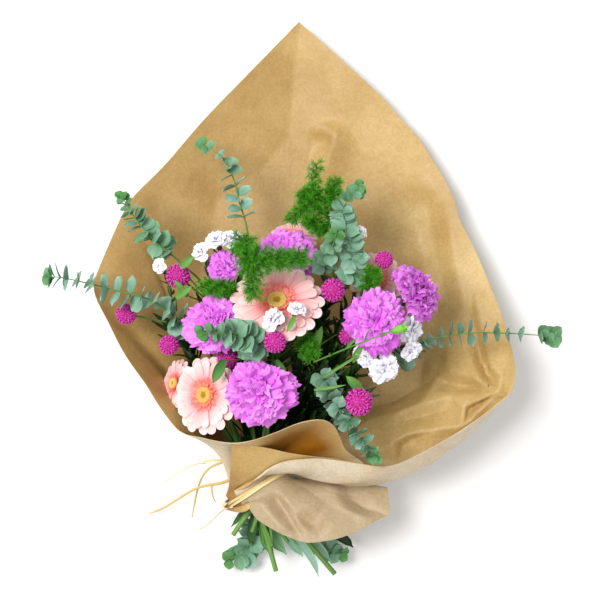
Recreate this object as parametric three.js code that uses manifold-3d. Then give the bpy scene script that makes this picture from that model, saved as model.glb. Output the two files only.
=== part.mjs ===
// Mixed flower bouquet in a kraft-paper wrap, tied with raffia and lying on its back.
// Millimetres, +Z up. The blooms face up, the cut stems point to -Y and the tall corner
// of the paper points to +Y. The origin is under the middle of the whole bouquet.
import * as THREE from 'three';
import { mergeVertices } from 'three/addons/utils/BufferGeometryUtils.js';
import Module from 'manifold-3d';

const wasm = await Module();
wasm.setup();

// Driving dimensions
const EYE_HEIGHT = 1500;       // places are read from above, from this height
const BLOOM_HEIGHT = 130;      // at this height a place reads at its true size
const PAPER = 0.8;             // thickness of the sheet
const LEAF = 0.8;              // thickness of leaves
const PETAL = 0.7;             // thickness of petals
const CLEARANCE = 0.35;        // between pieces that touch in the real bouquet
const LEAST_GAP = 0.3;
const NECK = [-41, -186, 47];  // middle of the tie, as read from above
const NECK_SLANT = 0.6;        // the tie runs down to the left across the neck
const BUNCH_RADIUS = 18;       // the bare stems at the tie
const LAYER_RADII = { inner: 21.5, flap: 25, outer: 28.5 };
const RAFFIA_WIDTH = 6;
const NECK_LENGTH = 19;        // stretch of paper drawn in under the tie
const NEEDLE = 0.45;           // half-width of a needle of asparagus fern
const SMOOTHING = 0.08;        // slivers finer than this are cleaned off after joining
const QUARTER = Math.PI / 2;
const SPIRAL = 2.4;            // radians from one shoot to the next round a stem

const FINISHES = {
  paper: { color: 0xc79a5b, roughness: 0.85 },
  raffia: { color: 0xe4d092, roughness: 0.7 },
  stem: { color: 0x5f8f3c, roughness: 0.6 },
  gerbera: { color: 0xfab8a8, roughness: 0.6 },
  gerberaEye: { color: 0xe3b94a, roughness: 0.85 },
  carnation: { color: 0xcf66ea, roughness: 0.65 },
  white: { color: 0xf6f1f5, roughness: 0.6 },
  gomphrena: { color: 0xb91d97, roughness: 0.7 },
  eucalyptus: { color: 0x7d9f8f, roughness: 0.7 },
  fern: { color: 0x3f8a1e, roughness: 0.65 },
  leaf: { color: 0x4f8a3a, roughness: 0.6 },
};

const group = new THREE.Group();
const finished = [];
const v3 = (x, y, z) => new THREE.Vector3(x, y, z);

// A small seeded generator, so that every build draws the same numbers
function seeded(seed) {
  let state = seed >>> 0;
  return () => {
    state = (Math.imul(state, 1664525) + 1013904223) >>> 0;
    return state / 4294967296;
  };
}

// A place as it reads from above: lower down it lies further from the middle
function above(x, y, z) {
  const spread = (EYE_HEIGHT - z) / (EYE_HEIGHT - BLOOM_HEIGHT);
  return v3(x * spread, y * spread, z);
}

const path = (points) => points.map((p) => above(...p));

// Solids
function solidOf(geometry) {
  geometry.deleteAttribute('normal');
  geometry.deleteAttribute('uv');
  const merged = mergeVertices(geometry, 1e-4);
  const triVerts = new Uint32Array(merged.index.array);
  const closed = () => new wasm.Manifold(new wasm.Mesh({
    numProp: 3,
    vertProperties: new Float32Array(merged.attributes.position.array),
    triVerts,
  }));
  const solid = closed();
  if (solid.volume() > 0) return solid;
  for (let i = 0; i < triVerts.length; i += 3) {
    [triVerts[i], triVerts[i + 1]] = [triVerts[i + 1], triVerts[i]];
  }
  return closed();
}

function boxOf(solid) {
  const { min, max } = solid.boundingBox();
  return new THREE.Box3(v3(...min), v3(...max));
}

// True where a solid stays off the ground and keeps its clearance to every finished piece
function isClear(solid) {
  const near = boxOf(solid).expandByScalar(CLEARANCE);
  return near.min.z > 0 && finished.every((other) => (
    !near.intersectsBox(other.box) || solid.minGap(other.solid, CLEARANCE * 2) >= LEAST_GAP
  ));
}

// Joins the pieces that are clear of their neighbours to one body, and files it under its name.
// A piece is given as a list of ways to make it, and the first that is clear is the one used.
function grow(name, roots, pieces, finish) {
  const kept = [...roots];
  for (const choices of pieces) {
    for (const make of choices) {
      const solid = make();
      if (isClear(solid)) {
        kept.push(solid);
        break;
      }
    }
  }
  const bodies = wasm.Manifold.union(kept).decompose();
  bodies.sort((a, b) => b.volume() - a.volume());
  const solid = bodies[0].simplify(SMOOTHING);
  finished.push({ name, solid, box: boxOf(solid) });
  const { numProp, vertProperties, triVerts } = solid.getMesh();
  const positions = new Float32Array((vertProperties.length / numProp) * 3);
  for (let i = 0; i < positions.length / 3; i += 1) {
    positions.set(vertProperties.subarray(i * numProp, i * numProp + 3), i * 3);
  }
  const geometry = new THREE.BufferGeometry();
  geometry.setAttribute('position', new THREE.BufferAttribute(positions, 3));
  geometry.setIndex(new THREE.BufferAttribute(new Uint32Array(triVerts), 1));
  const mesh = new THREE.Mesh(geometry, new THREE.MeshStandardMaterial(FINISHES[finish]));
  mesh.name = name;
  group.add(mesh);
}

// A sheet of even thickness over a grid of points, both faces split along the same diagonals
function sheet(rows, thickness) {
  const across = rows[0].length;
  const along = rows.length;
  const positions = [];
  for (const side of [0.5, -0.5]) {
    rows.forEach((row, i) => row.forEach((point, j) => {
      const du = rows[Math.min(i + 1, along - 1)][j].clone().sub(rows[Math.max(i - 1, 0)][j]);
      const dv = row[Math.min(j + 1, across - 1)].clone().sub(row[Math.max(j - 1, 0)]);
      const normal = du.cross(dv).normalize();
      const corner = point.clone().addScaledVector(normal, side * thickness);
      positions.push(corner.x, corner.y, corner.z);
    }));
  }
  const index = [];
  const at = (side, i, j) => side * along * across + i * across + j;
  const quad = (a, b, c, d) => index.push(a, b, c, a, c, d);
  for (let i = 0; i < along - 1; i += 1) {
    for (let j = 0; j < across - 1; j += 1) {
      quad(at(0, i, j), at(0, i + 1, j), at(0, i + 1, j + 1), at(0, i, j + 1));
      index.push(at(1, i, j), at(1, i + 1, j + 1), at(1, i + 1, j));
      index.push(at(1, i, j), at(1, i, j + 1), at(1, i + 1, j + 1));
    }
  }
  for (let i = 0; i < along - 1; i += 1) {
    quad(at(0, i + 1, 0), at(0, i, 0), at(1, i, 0), at(1, i + 1, 0));
    const last = across - 1;
    quad(at(0, i, last), at(0, i + 1, last), at(1, i + 1, last), at(1, i, last));
  }
  for (let j = 0; j < across - 1; j += 1) {
    quad(at(0, 0, j), at(0, 0, j + 1), at(1, 0, j + 1), at(1, 0, j));
    const last = along - 1;
    quad(at(0, last, j + 1), at(0, last, j), at(1, last, j), at(1, last, j + 1));
  }
  const geometry = new THREE.BufferGeometry();
  geometry.setAttribute('position', new THREE.Float32BufferAttribute(positions, 3));
  geometry.setIndex(index);
  return solidOf(geometry);
}

// A round stalk along a curve, as a prism with few sides
function stalk(points, radius, steps, sides = 5) {
  const outline = new THREE.Shape();
  for (let i = 0; i < sides; i += 1) {
    const turn = (i / sides) * Math.PI * 2;
    const corner = [Math.cos(turn) * radius, Math.sin(turn) * radius];
    if (i === 0) outline.moveTo(...corner);
    else outline.lineTo(...corner);
  }
  const extrudePath = new THREE.CatmullRomCurve3(points);
  return solidOf(new THREE.ExtrudeGeometry(outline, { steps, extrudePath, curveSegments: 1 }));
}

// Turns a shape made round the local Z axis to face a direction, and puts it in its place
function facing(place, direction, roll = 0) {
  const toDirection = new THREE.Quaternion().setFromUnitVectors(
    v3(0, 0, 1),
    direction.clone().normalize(),
  );
  const spin = new THREE.Quaternion().setFromAxisAngle(v3(0, 0, 1), roll);
  return new THREE.Matrix4().compose(place, toDirection.multiply(spin), v3(1, 1, 1));
}

const place = (solid, matrix) => solid.transform(matrix.elements);

// A petal or leaf: rows of { reach, rise, half } from its root, as seen along its own length
const blade = (rows, thickness) => sheet(rows.map(({ reach, rise, half }) => (
  [v3(reach, -half, rise), v3(reach, half, rise)]
)), thickness);

const turned = (solid, degrees) => solid.rotate([0, 0, degrees]);

// Paper wrap
// One sheet, listed round its free edge: the flap that is folded back over the front, the
// front hump, the left corner, the tall corner, the right corner and the outer front band.
// Each entry gives the edge as it reads from above and the angle at which the paper passes
// through the tie: 0 is the right, 90 the front, 180 the left and 270 the back.
const FLAP_EDGE = [
  [-69, -145, 108, 168], [-37, -148, 111, 130], [-4, -154, 110, 98], [30, -158, 107, 68],
  [54, -163, 103, 44], [66, -166, 100, 34],
];
const INNER_EDGE = [
  [60, -160, 100, 40], [46, -150, 113, 50], [40, -138, 131, 58], [34, -127, 144, 66],
  [24, -121, 150, 74], [11, -121, 150, 82], [-4, -124, 146, 91], [-22, -131, 136, 101],
  [-45, -139, 126, 113], [-69, -142, 118, 125], [-99, -137, 113, 138], [-120, -131, 110, 149],
  [-140, -108, 108, 160], [-155, -85, 104, 170], [-175, -55, 92, 180], [-190, -25, 78, 190],
  [-206, 9, 62, 200], [-202, 30, 54, 206], [-178, 85, 40, 220],
  [-165, 105, 36, 226], [-135, 135, 32, 235], [-95, 182, 29, 247], [-50, 228, 27, 258],
  [-1, 278, 26, 268], [75, 210, 26, 284], [100, 182, 28, 291],
  [120, 160, 29, 297], [150, 110, 34, 309], [160, 80, 38, 316],
  [175, 50, 44, 323], [190, 15, 52, 330], [200, -10, 60, 336], [208, -35, 70, 342],
  [214, -60, 80, 347], [215, -75, 86, 352], [212, -91, 92, 357], [198, -104, 97, 362],
  [182, -116, 101, 367], [151, -137, 106, 374], [112, -158, 110, 382], [86, -166, 111, 390],
  [56, -163, 113, 400], [21, -159, 114, 414], [-4, -160, 111, 430], [-20, -163, 106, 448],
  [-32, -169, 98, 470], [-46, -180, 83, 496],
];
// The flared hem below the tie, by the same angle
const HEM = [
  [90, -20, -212, 64], [160, -66, -206, 48], [200, -66, -208, 34], [240, -52, -216, 16],
  [270, -10, -228, 6], [315, 50, -212, 16], [340, 82, -190, 42], [357, 88, -187, 60],
  [374, 88, -214, 76], [390, 62, -229, 86], [410, 37, -239, 91], [432, 4, -243, 90],
  [450, -20, -233, 85], [470, -40, -221, 77], [496, -54, -204, 62],
];
const FLAP_CORNER = [-75, -210, 42];
const FLAP_BEND = [0, 0, 3];
const PAPER_ROWS = { hem: 1, cone: 4 };
const BELLY_AT = 0.45;         // how far up its side the paper bends most
const FRONT_ENDS_AT = 160;     // the sheet's end lies in front, up to this angle
const NECK_HALF = v3(-NECK_SLANT, 1, 0).setLength(NECK_LENGTH / 2);

function ramp(table, at) {
  const last = table.length - 1;
  const i = Math.max(0, table.findIndex((row, k) => k === last - 1 || table[k + 1][0] >= at));
  const t = THREE.MathUtils.clamp((at - table[i][0]) / (table[i + 1][0] - table[i][0]), 0, 1);
  return table[i].slice(1).map((value, k) => THREE.MathUtils.lerp(value, table[i + 1][k + 1], t));
}

const LAYER_BY_ANGLE = [
  [0, LAYER_RADII.inner], [330, LAYER_RADII.inner + 1], [380, LAYER_RADII.outer],
  [500, LAYER_RADII.outer],
];

// How far the paper bends off the straight line between its tie and its edge, by angle
const BEND_BY_ANGLE = [
  [40, 0, 0, 0], [55, -11, 0, -16], [70, -15, 0, -41], [110, 15, 0, -41], [125, 8, 21, -30],
  [138, 12, 21, -15], [149, 20, 18, -8], [160, 30, 8, -4], [170, 34, 5, -2], [180, 40, 0, -3],
  [190, 44, -8, -8], [200, 44, -12, -14], [206, 38, -6, -18], [220, 10, 0, -44],
  [226, -15, 0, -54], [240, -37, 0, -64], [270, 0, 0, -74], [300, 37, 0, -64],
  [345, 31, -30, -8], [357, 26, -84, -1], [367, 20, -84, 2], [374, 15, -66, 4],
  [382, 11, -46, 4], [390, 8, -34, 5], [400, 6, -22, 5], [414, 4, -14, 6], [430, 2, -8, 5],
  [448, 0, 0, 5], [500, 0, 0, 1],
];

// The point of the neck at an angle and a distance from its middle
function atNeck(angle, radius) {
  const turn = THREE.MathUtils.degToRad(angle);
  return above(
    NECK[0] + Math.cos(turn) * radius,
    NECK[1] + Math.cos(turn) * radius * NECK_SLANT,
    NECK[2] + Math.sin(turn) * radius,
  );
}

function paperColumn([x, y, z, angle], radius, hem, bend) {
  const rim = above(x, y, z);
  const tie = atNeck(angle, radius);
  const turn = THREE.MathUtils.degToRad(angle);
  const out = v3(Math.cos(turn), 0, Math.sin(turn));
  const middle = tie.clone().lerp(rim, BELLY_AT).add(v3(...bend));
  const skirt = tie.clone().lerp(hem, BELLY_AT).addScaledVector(out, 1.5);
  const lower = new THREE.QuadraticBezierCurve3(hem, skirt, tie.clone().sub(NECK_HALF));
  const upper = new THREE.QuadraticBezierCurve3(tie.clone().add(NECK_HALF), middle, rim);
  const column = [
    ...lower.getPoints(PAPER_ROWS.hem),
    ...upper.getPoints(PAPER_ROWS.cone),
  ];
  column.forEach((point) => point.setZ(Math.max(point.z, PAPER / 2)));
  return column;
}

function paperWrap() {
  const flap = FLAP_EDGE.map((edge, i) => {
    const stretch = i === 0 ? 4 : 0;
    const tie = atNeck(edge[3], LAYER_RADII.flap);
    const inFold = Math.max(0, (i - 3) / 2);
    const radius = LAYER_RADII.flap + stretch - inFold * 1.7;
    const hem = i === 0 ? above(...FLAP_CORNER) : tie.clone().add(v3(0, -17, 2 - inFold));
    return paperColumn(edge, radius, hem, FLAP_BEND);
  });
  const rest = INNER_EDGE.map((edge) => {
    const angle = edge[3];
    const [radius] = ramp(LAYER_BY_ANGLE, angle);
    const inFront = angle < FRONT_ENDS_AT;
    const hem = inFront ? atNeck(angle, radius).add(v3(0, -15, -1)) : above(...ramp(HEM, angle));
    return paperColumn(edge, radius, hem, ramp(BEND_BY_ANGLE, angle));
  });
  grow('wrap', [sheet([...flap, ...rest], PAPER)], [], 'paper');
}

// Gerberas: two rings of ray petals on a thin receptacle, with a separate eye of florets
const GERBERAS = [
  { name: 'gerbera_centre', at: [-23, 0, 146], face: [0, 0.5, 0.87], size: 47, rays: 13,
    rings: 2 },
  { name: 'gerbera_left', at: [-99, -96, 123], face: [-0.68, -0.05, 0.73], size: 41,
    rays: 13, rings: 1 },
  { name: 'gerbera_low_left', at: [-124, -82, 84], face: [-0.9, 0.1, 0.45], size: 27,
    rays: 9, rings: 1 },
  { name: 'gerbera_back', at: [-5, 66, 64], face: [0, 0.95, 0.3], size: 25, rays: 10,
    rings: 1 },
  { name: 'gerbera_right', at: [82, 20, 92], face: [0.2, 0.4, 0.89], size: 31, rays: 10,
    rings: 1 },
];

const EYE_SHARE = 0.2;         // the eye's radius in parts of the flower's
const RECEPTACLE_DEPTH = 4.2;

const profileOf = (points) => points.map(([radius, height]) => new THREE.Vector2(radius, height));

function gerbera({ name, at, face, size, rays, rings }, roll) {
  const matrix = facing(above(...at), v3(...face), roll);
  const eye = EYE_SHARE * size;
  const receptacle = new THREE.LatheGeometry(profileOf([
    [0, -RECEPTACLE_DEPTH], [eye * 0.6, -3.8], [eye * 1.3, -1], [eye * 1.3, 0.9], [0, 0.9],
  ]), 8);
  const base = solidOf(receptacle.rotateX(QUARTER));
  const petals = [];
  for (let ring = 0; ring < rings; ring += 1) {
    const reach = size * (ring ? 0.84 : 1);
    const lift = ring ? 2.4 : 0;
    const half = (Math.PI * reach * 0.62) / rays;
    const ray = blade([
      { reach: eye * 1.1, rise: ring ? 0.3 : -0.8, half: (Math.PI * eye * 0.9) / rays },
      { reach: reach * 0.66, rise: lift + 2, half },
      { reach, rise: lift - 0.5, half: half * 0.42 },
    ], PETAL);
    for (let i = 0; i < rays; i += 1) {
      const degrees = ((i + ring / 2) * 360) / rays;
      petals.push([() => place(turned(ray, degrees), matrix)]);
    }
  }
  grow(name, [place(base, matrix)], petals, 'gerbera');
  const dome = new THREE.LatheGeometry(profileOf([
    [0, 4.5], [eye * 0.9, 4.5], [eye, 5.8], [eye * 0.72, 8.2], [eye * 0.4, 7.6], [0, 7.3],
  ]), 7);
  const florets = solidOf(dome.rotateX(QUARTER));
  const seat = solidOf(new THREE.CylinderGeometry(eye * 0.55, eye * 0.5, 3.6, 5)
    .rotateX(QUARTER).translate(0, 0, 3.1));
  grow(`${name}_eye`, [place(florets.add(seat), matrix)], [], 'gerberaEye');
}

// A ball whose surface is raised in points, every other corner of its rows
function knobbed(radius, columns, rows, depth) {
  const ball = new THREE.SphereGeometry(radius, columns, rows);
  const point = v3(0, 0, 0);
  const { position } = ball.attributes;
  for (let i = 0; i < position.count; i += 1) {
    point.fromBufferAttribute(position, i);
    const row = Math.round((Math.acos(point.y / radius) / Math.PI) * rows);
    const column = Math.round((Math.atan2(point.z, point.x) / (Math.PI * 2)) * columns);
    const atPole = row === 0 || row === rows;
    if (!atPole && (row + column) % 2 === 0) point.multiplyScalar(1 - depth);
    position.setXYZ(i, point.x, point.y, point.z);
  }
  return ball;
}

// Carnations, large and small
const CARNATIONS = [
  { name: 'carnation_front', at: [-39, -94, 148], face: [-0.05, -0.3, 0.95], size: 37 },
  { name: 'carnation_right_centre', at: [77, -22, 152], face: [0.1, 0.05, 0.99], size: 33 },
  { name: 'carnation_left', at: [-87, -25, 138], face: [-0.4, 0.05, 0.9], size: 31 },
  { name: 'carnation_top', at: [-12, 41, 102], face: [0, 0.4, 0.92], size: 30 },
  { name: 'carnation_right', at: [120, 9, 128], face: [0.62, 0.4, 0.68], size: 31 },
  { name: 'carnation_small', at: [-76, 34, 134], face: [-0.2, 0.5, 0.84], size: 18 },
];
const WHITE_BLOOMS = [
  { name: 'white_1', at: [-86, 61, 136], face: [-0.3, 0.6, 0.74], size: 12 },
  { name: 'white_2', at: [-67, 62, 132], face: [0, 0.75, 0.66], size: 10 },
  { name: 'white_3', at: [-102, 47, 132], face: [-0.5, 0.4, 0.76], size: 10 },
  { name: 'white_4', at: [60, 68, 124], face: [0.4, 0.6, 0.7], size: 9 },
  { name: 'white_5', at: [-141, 34, 126], face: [-0.5, 0.2, 0.84], size: 8.5 },
  { name: 'white_6', at: [-28, -19, 177], face: [-0.5, 0.5, 0.7], size: 12.5, via: [
    [-20, -64, 120], [-8, -52, 168], [-14, -38, 174]] },
  { name: 'white_7', at: [-3, -9, 172], face: [0.3, 0.6, 0.74], size: 10, via: [
    [-16, -66, 120], [-2, -54, 168], [-5, -32, 172]] },
  { name: 'white_8', at: [63, -58, 136], face: [-0.2, -0.4, 0.9], size: 11 },
  { name: 'white_9', at: [84, -70, 138], face: [0.15, -0.4, 0.9], size: 15 },
  { name: 'white_10', at: [113, -28, 136], face: [0.75, -0.2, 0.63], size: 13 },
  { name: 'white_11', at: [111, -51, 132], face: [0.4, -0.35, 0.85], size: 12 },
];

const EDGE_WAVE = 0.06;
const CARNATION_LAYERS = [
  { edge: [1.04, -0.12], valley: [0.58, -0.02] },
  { edge: [0.95, 0.1], valley: [0.46, 0.14] },
  { edge: [0.76, 0.3], valley: [0.3, 0.26] },
  { edge: [0.42, 0.44], valley: [0, 0.3] },
];
const WHITE_LAYERS = [
  { edge: [1.05, -0.1], valley: [0.5, 0.04] },
  { edge: [0.74, 0.24], valley: [0, 0.18] },
];
const CALYX_DEPTH = 0.55;      // how deep a bloom reaches down into its calyx
const NOTCH = 0.14;            // cut into every fourth petal's edge
const RAGGED = 0.08;

// One bloom: layer over layer of petals, whose edges zigzag up and down and in and out.
// A layer is { edge: [radius, height], valley: [radius, height] }, in parts of the bloom's size.
function carnation({ name, at, face, size }, roll, finish, layers, columns) {
  const profile = [
    [0, -CALYX_DEPTH], [0.14, -0.5], [0.24, -0.28],
    ...layers.flatMap(({ edge, valley }) => [edge, valley]),
  ];
  const bloom = new THREE.LatheGeometry(profileOf(profile), columns).scale(size, size, size);
  const { position } = bloom.attributes;
  const draw = seeded(roll + 71);
  const ragged = Array.from({ length: columns }, () => draw() * RAGGED);
  for (let i = 0; i < position.count; i += 1) {
    const row = i % profile.length;
    const column = Math.floor(i / profile.length) % columns;
    if (row >= 3 && row % 2 === 1) {
      const layer = (row - 3) / 2;
      const zigzag = (column + layer) % 2 ? 1 : -1;
      const notch = (column + layer) % 4 === 0 ? NOTCH : 0;
      const spread = 1 - notch - ragged[(column * 3 + layer) % columns];
      position.setXYZ(
        i,
        position.getX(i) * spread,
        position.getY(i) + zigzag * size * EDGE_WAVE,
        position.getZ(i) * spread,
      );
    }
  }
  const matrix = facing(above(...at), v3(...face), roll);
  grow(name, [place(solidOf(bloom.rotateX(QUARTER)), matrix)], [], finish);
}

// Gomphrena: round heads covered in pointed bracts, raised from the ball row by row
const GOMPHRENAS = [
  [-122, 24, 122, 12], [-174, -14, 92, 10.5], [-131, -45, 112, 10], [-25, -42, 178, 10.5],
  [-73, -60, 122, 11], [33, 10, 149, 11.5], [59, -102, 150, 13.5], [48, -36, 124, 9],
  [84, 40, 130, 9],
];

function gomphrena(name, [x, y, z, radius]) {
  const centre = above(x, y, z);
  const ball = knobbed(radius, 8, 6, 0.14);
  grow(name, [solidOf(ball).translate([centre.x, centre.y, centre.z])], [], 'gomphrena');
}

// Stems: bare at the tie, spread above it, each ending just under its bloom
const STEM_ENDS = [
  [-67, -235, 42], [-24, -271, 44], [35, -274, 48], [-36, -242, 40], [0, -244, 40],
  [16, -240, 54], [-28, -246, 54], [6, -238, 60], [-48, -232, 52], [-12, -242, 36],
];

// A stem may bend aside by so much, or end so far from its bloom, to pass its neighbours
const WAYS_ROUND = [0, 6, -6, 12, -12, 18, -18, 26, -26, 34, -34];
const REACHES = [1.5, 0.9, 0.4, 0, -0.4, -0.8];
const BINDING = { top: BUNCH_RADIUS * 0.8, low: BUNCH_RADIUS * 0.7, length: 46 };

// Narrow leaves out of the bunch below the tie: their tips as read from above, half-width
const LOW_LEAVES = [
  [[-60, -216, 32], [-69, -227, 28], 3.5],
  [[30, -236, 34], [50, -248, 28], 6],
  [[8, -250, 46], [19, -277, 38], 5.5],
  [[-34, -238, 34], [-20, -258, 30], 6.5],
  [[-14, -240, 34], [-4, -262, 30], 7],
];
const LEAF_OUTLINE = [0.4, 0.6, 0.9, 1, 0.12];

function lowLeaf([bend, tip, half]) {
  const root = atNeck(0, 0).add(v3(0, -BINDING.length * 0.4, 0));
  const curve = new THREE.CatmullRomCurve3([root, ...path([bend, tip])]);
  const rows = LEAF_OUTLINE.map((width, i) => {
    const along = i / (LEAF_OUTLINE.length - 1);
    const centre = curve.getPoint(along);
    const side = v3(0, 0, 1).cross(curve.getTangent(along)).setLength(half * width);
    return [centre.clone().sub(side), centre.clone().add(side)];
  });
  return sheet(rows, LEAF);
}

function twigTo(base, direction, radius, from, bend) {
  const approach = base.clone().addScaledVector(direction, -9);
  const middle = from.clone().lerp(approach, 0.5).add(v3(bend, bend / 3, -5));
  return stalk([from, middle, approach, base], radius, 3, 3);
}

function stemTo(base, direction, radius, index, bend) {
  const turn = index * SPIRAL;
  const inTie = BUNCH_RADIUS * 0.4 * Math.sqrt(((index * 7) % 10) / 10);
  const neck = atNeck(0, 0).add(v3(Math.cos(turn) * inTie, 0, Math.sin(turn) * inTie));
  const end = above(...STEM_ENDS[index % STEM_ENDS.length]);
  const approach = base.clone().addScaledVector(direction, -18);
  const middle = neck.clone().lerp(approach, 0.5).add(v3(bend, 0, -8 - Math.abs(bend)));
  const start = index < STEM_ENDS.length ? [end, neck] : [neck];
  return stalk([...start, middle, approach, base], radius, start.length + 2, 3);
}

function stems(bases) {
  const pieces = [];
  bases.forEach(({ base, direction, radius, cup, from, via, fork }, index) => {
    const choices = WAYS_ROUND.flatMap((bend) => REACHES.map((reach) => {
      const end = base.clone().addScaledVector(direction, reach);
      if (via) return () => stalk([from, ...path(via), end], radius, 6, 3);
      if (from) return () => twigTo(end, direction, radius, from, bend);
      return () => stemTo(end, direction, radius, index, bend);
    }));
    pieces.push(choices);
    if (fork) {
      const joint = solidOf(new THREE.SphereGeometry(fork, 6, 4));
      pieces.push([() => joint.translate([base.x, base.y, base.z])]);
    }
    if (cup) {
      const matrix = facing(base, direction);
      const calyx = new THREE.CylinderGeometry(cup, radius * 0.9, cup * 3, 5)
        .rotateX(QUARTER).translate(0, 0, -cup * 1.5);
      pieces.push([() => place(solidOf(calyx), matrix)]);
    }
  });
  LOW_LEAVES.forEach((leaf) => pieces.push([() => lowLeaf(leaf)]));
  const bunch = new THREE.CylinderGeometry(BINDING.top, BINDING.low, BINDING.length, 8);
  const heart = atNeck(0, 0);
  const binding = solidOf(bunch).translate([heart.x, heart.y, heart.z]);
  grow('stems', [binding, packedAtTie(heart)], pieces, 'stem');
}

// Where the tie draws them in, the stems fill the paper's neck
function packedAtTie(heart) {
  const ways = [];
  for (let radius = LAYER_RADII.inner; radius > BINDING.top; radius -= 0.2) {
    const plug = new THREE.CylinderGeometry(radius, radius, RAFFIA_WIDTH, 10).rotateX(QUARTER);
    ways.push(place(solidOf(plug), facing(heart, NECK_HALF)));
  }
  return ways.find(isClear);
}

// Eucalyptus: pairs of round leaves up a thin stem, each pair a quarter turn from the last
const EUCALYPTUS = [
  { name: 'eucalyptus_left', pairs: 7, leaf: [19, 9.5], shy: 0.18, route: [
    [-92, -42, 86], [-118, -22, 100], [-150, 0, 116], [-193, 12, 114], [-236, 22, 108],
    [-256, 23, 106]] },
  { name: 'eucalyptus_upper_left', pairs: 6, leaf: [17, 10], shy: 0.1, route: [
    [-102, 22, 92], [-128, 45, 108], [-148, 62, 110], [-165, 82, 104], [-178, 103, 94]] },
  { name: 'eucalyptus_top', pairs: 6, leaf: [17, 8.5], shy: 0.2, route: [
    [-50, 50, 96], [-54, 76, 106], [-61, 99, 104], [-66, 120, 97], [-76, 141, 86],
    [-98, 156, 72]] },
  { name: 'eucalyptus_right_back', pairs: 7, leaf: [16, 9.5], shy: 0.15, route: [
    [48, 12, 128], [52, 32, 142], [51, 50, 144], [45, 72, 140], [42, 90, 130],
    [60, 113, 112]] },
  { name: 'eucalyptus_rosette', pairs: 4, leaf: [12, 8], shy: 0.3, route: [
    [22, 26, 118], [24, 36, 136], [31, 50, 150], [36, 66, 158]] },
  { name: 'eucalyptus_right', pairs: 8, leaf: [18, 9], shy: 0.15, route: [
    [88, -66, 98], [104, -58, 106], [125, -42, 112], [160, -34, 117], [200, -33, 118],
    [258, -37, 112]] },
  { name: 'eucalyptus_middle', pairs: 6, leaf: [16, 9.5], shy: 0.1, route: [
    [-46, -46, 128], [-46, -48, 152], [-52, -42, 170], [-66, -36, 176], [-98, -34, 182]] },
  { name: 'eucalyptus_front', pairs: 6, leaf: [14, 9], shy: 0.05, route: [
    [22, -72, 112], [27, -86, 130], [36, -106, 140], [50, -126, 142], [64, -142, 136],
    [74, -158, 128]] },
  { name: 'eucalyptus_low_left', pairs: 4, leaf: [17, 9], shy: 0.05, route: [
    [-46, -216, 22], [-44, -234, 19], [-51, -250, 18], [-70, -259, 20]] },
  { name: 'eucalyptus_low_right', pairs: 4, leaf: [17, 9], shy: 0.1, route: [
    [-10, -216, 20], [6, -235, 19], [24, -247, 19], [42, -255, 20]] },
];

function leafyStem({ name, pairs, leaf, shy, route }, seed) {
  const draw = seeded(seed);
  const points = path(route);
  const curve = new THREE.CatmullRomCurve3(points);
  const twig = stalk(points, 1.2, 7, 3);
  const leaves = [];
  for (let i = 0; i < pairs; i += 1) {
    const along = shy + ((1 - shy) * (i + 0.4)) / pairs;
    const spot = curve.getPoint(along);
    const ahead = curve.getTangent(along);
    const size = 1 - 0.4 * along ** 2;
    const turn = i * QUARTER + 0.5 + (draw() - 0.5) * 0.5;
    const lean = Math.tan(0.3 + draw() * 0.35);
    const across = v3(0, 0, 1).cross(ahead).normalize();
    const up = ahead.clone().cross(across).normalize();
    leaves.push([0, 0.5, -0.5, 1].map((extra) => () => {
      const out = across.clone().multiplyScalar(Math.cos(turn + extra))
        .addScaledVector(up, Math.sin(turn + extra));
      const broad = ahead.clone().cross(out).normalize();
      const matrix = new THREE.Matrix4().makeBasis(out, broad, ahead).setPosition(spot);
      const length = leaf[0] * size;
      const half = leaf[1] * size;
      const pair = [-1, -0.5, 0, 0.5, 1].map((t) => ({
        reach: t * length,
        rise: Math.abs(t) * length * lean,
        half: half * (t === 0 ? 0.1 : 1.5 - Math.abs(t)),
      }));
      return place(blade(pair, LEAF), matrix);
    }));
  }
  grow(name, [twig], leaves, 'eucalyptus');
}

// Asparagus fern: short side sprays round a thin stem, each a slim core set with needles
const FERNS = [
  { name: 'fern_top', sprays: 6, spray: 22, needle: 9, route: [
    [30, 66, 108], [28, 88, 118], [14, 110, 118], [17, 136, 108]] },
  { name: 'fern_middle', sprays: 5, spray: 20, needle: 9, route: [
    [-62, 44, 142], [-56, 44, 166], [-48, 30, 182], [-48, 4, 184]], arm: [
    [-56, 44, 166], [-36, 44, 182], [-14, 46, 186], [2, 44, 182]] },
  { name: 'fern_left', sprays: 4, spray: 14, needle: 8, route: [
    [-62, 8, 132], [-74, 12, 142], [-86, 12, 148], [-98, 14, 142]] },
  { name: 'fern_inner', sprays: 4, spray: 13, needle: 8, route: [
    [6, -36, 118], [8, -44, 134], [10, -54, 146]] },
  { name: 'fern_right', sprays: 4, spray: 13, needle: 8, route: [
    [62, 10, 125], [68, 18, 135], [73, 28, 143]] },
];
const NEEDLES_PER_SPRAY = 3;

// A square core along Z, with one needle after the other out of its four faces
function sprayOf(length, needle) {
  const core = new THREE.CylinderGeometry(0.6, 1.1, length, 4).rotateX(QUARTER)
    .translate(0, 0, length / 2);
  const needles = [];
  for (let k = 0; k < NEEDLES_PER_SPRAY; k += 1) {
    const spike = new THREE.ConeGeometry(NEEDLE, needle, 3, 1).translate(0, needle / 2, 0);
    spike.rotateX(0.6).rotateZ((k + 0.5) * QUARTER);
    spike.translate(0, 0, (length * (k + 0.4)) / NEEDLES_PER_SPRAY);
    needles.push(solidOf(spike));
  }
  return wasm.Manifold.union([solidOf(core), ...needles]);
}

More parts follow.
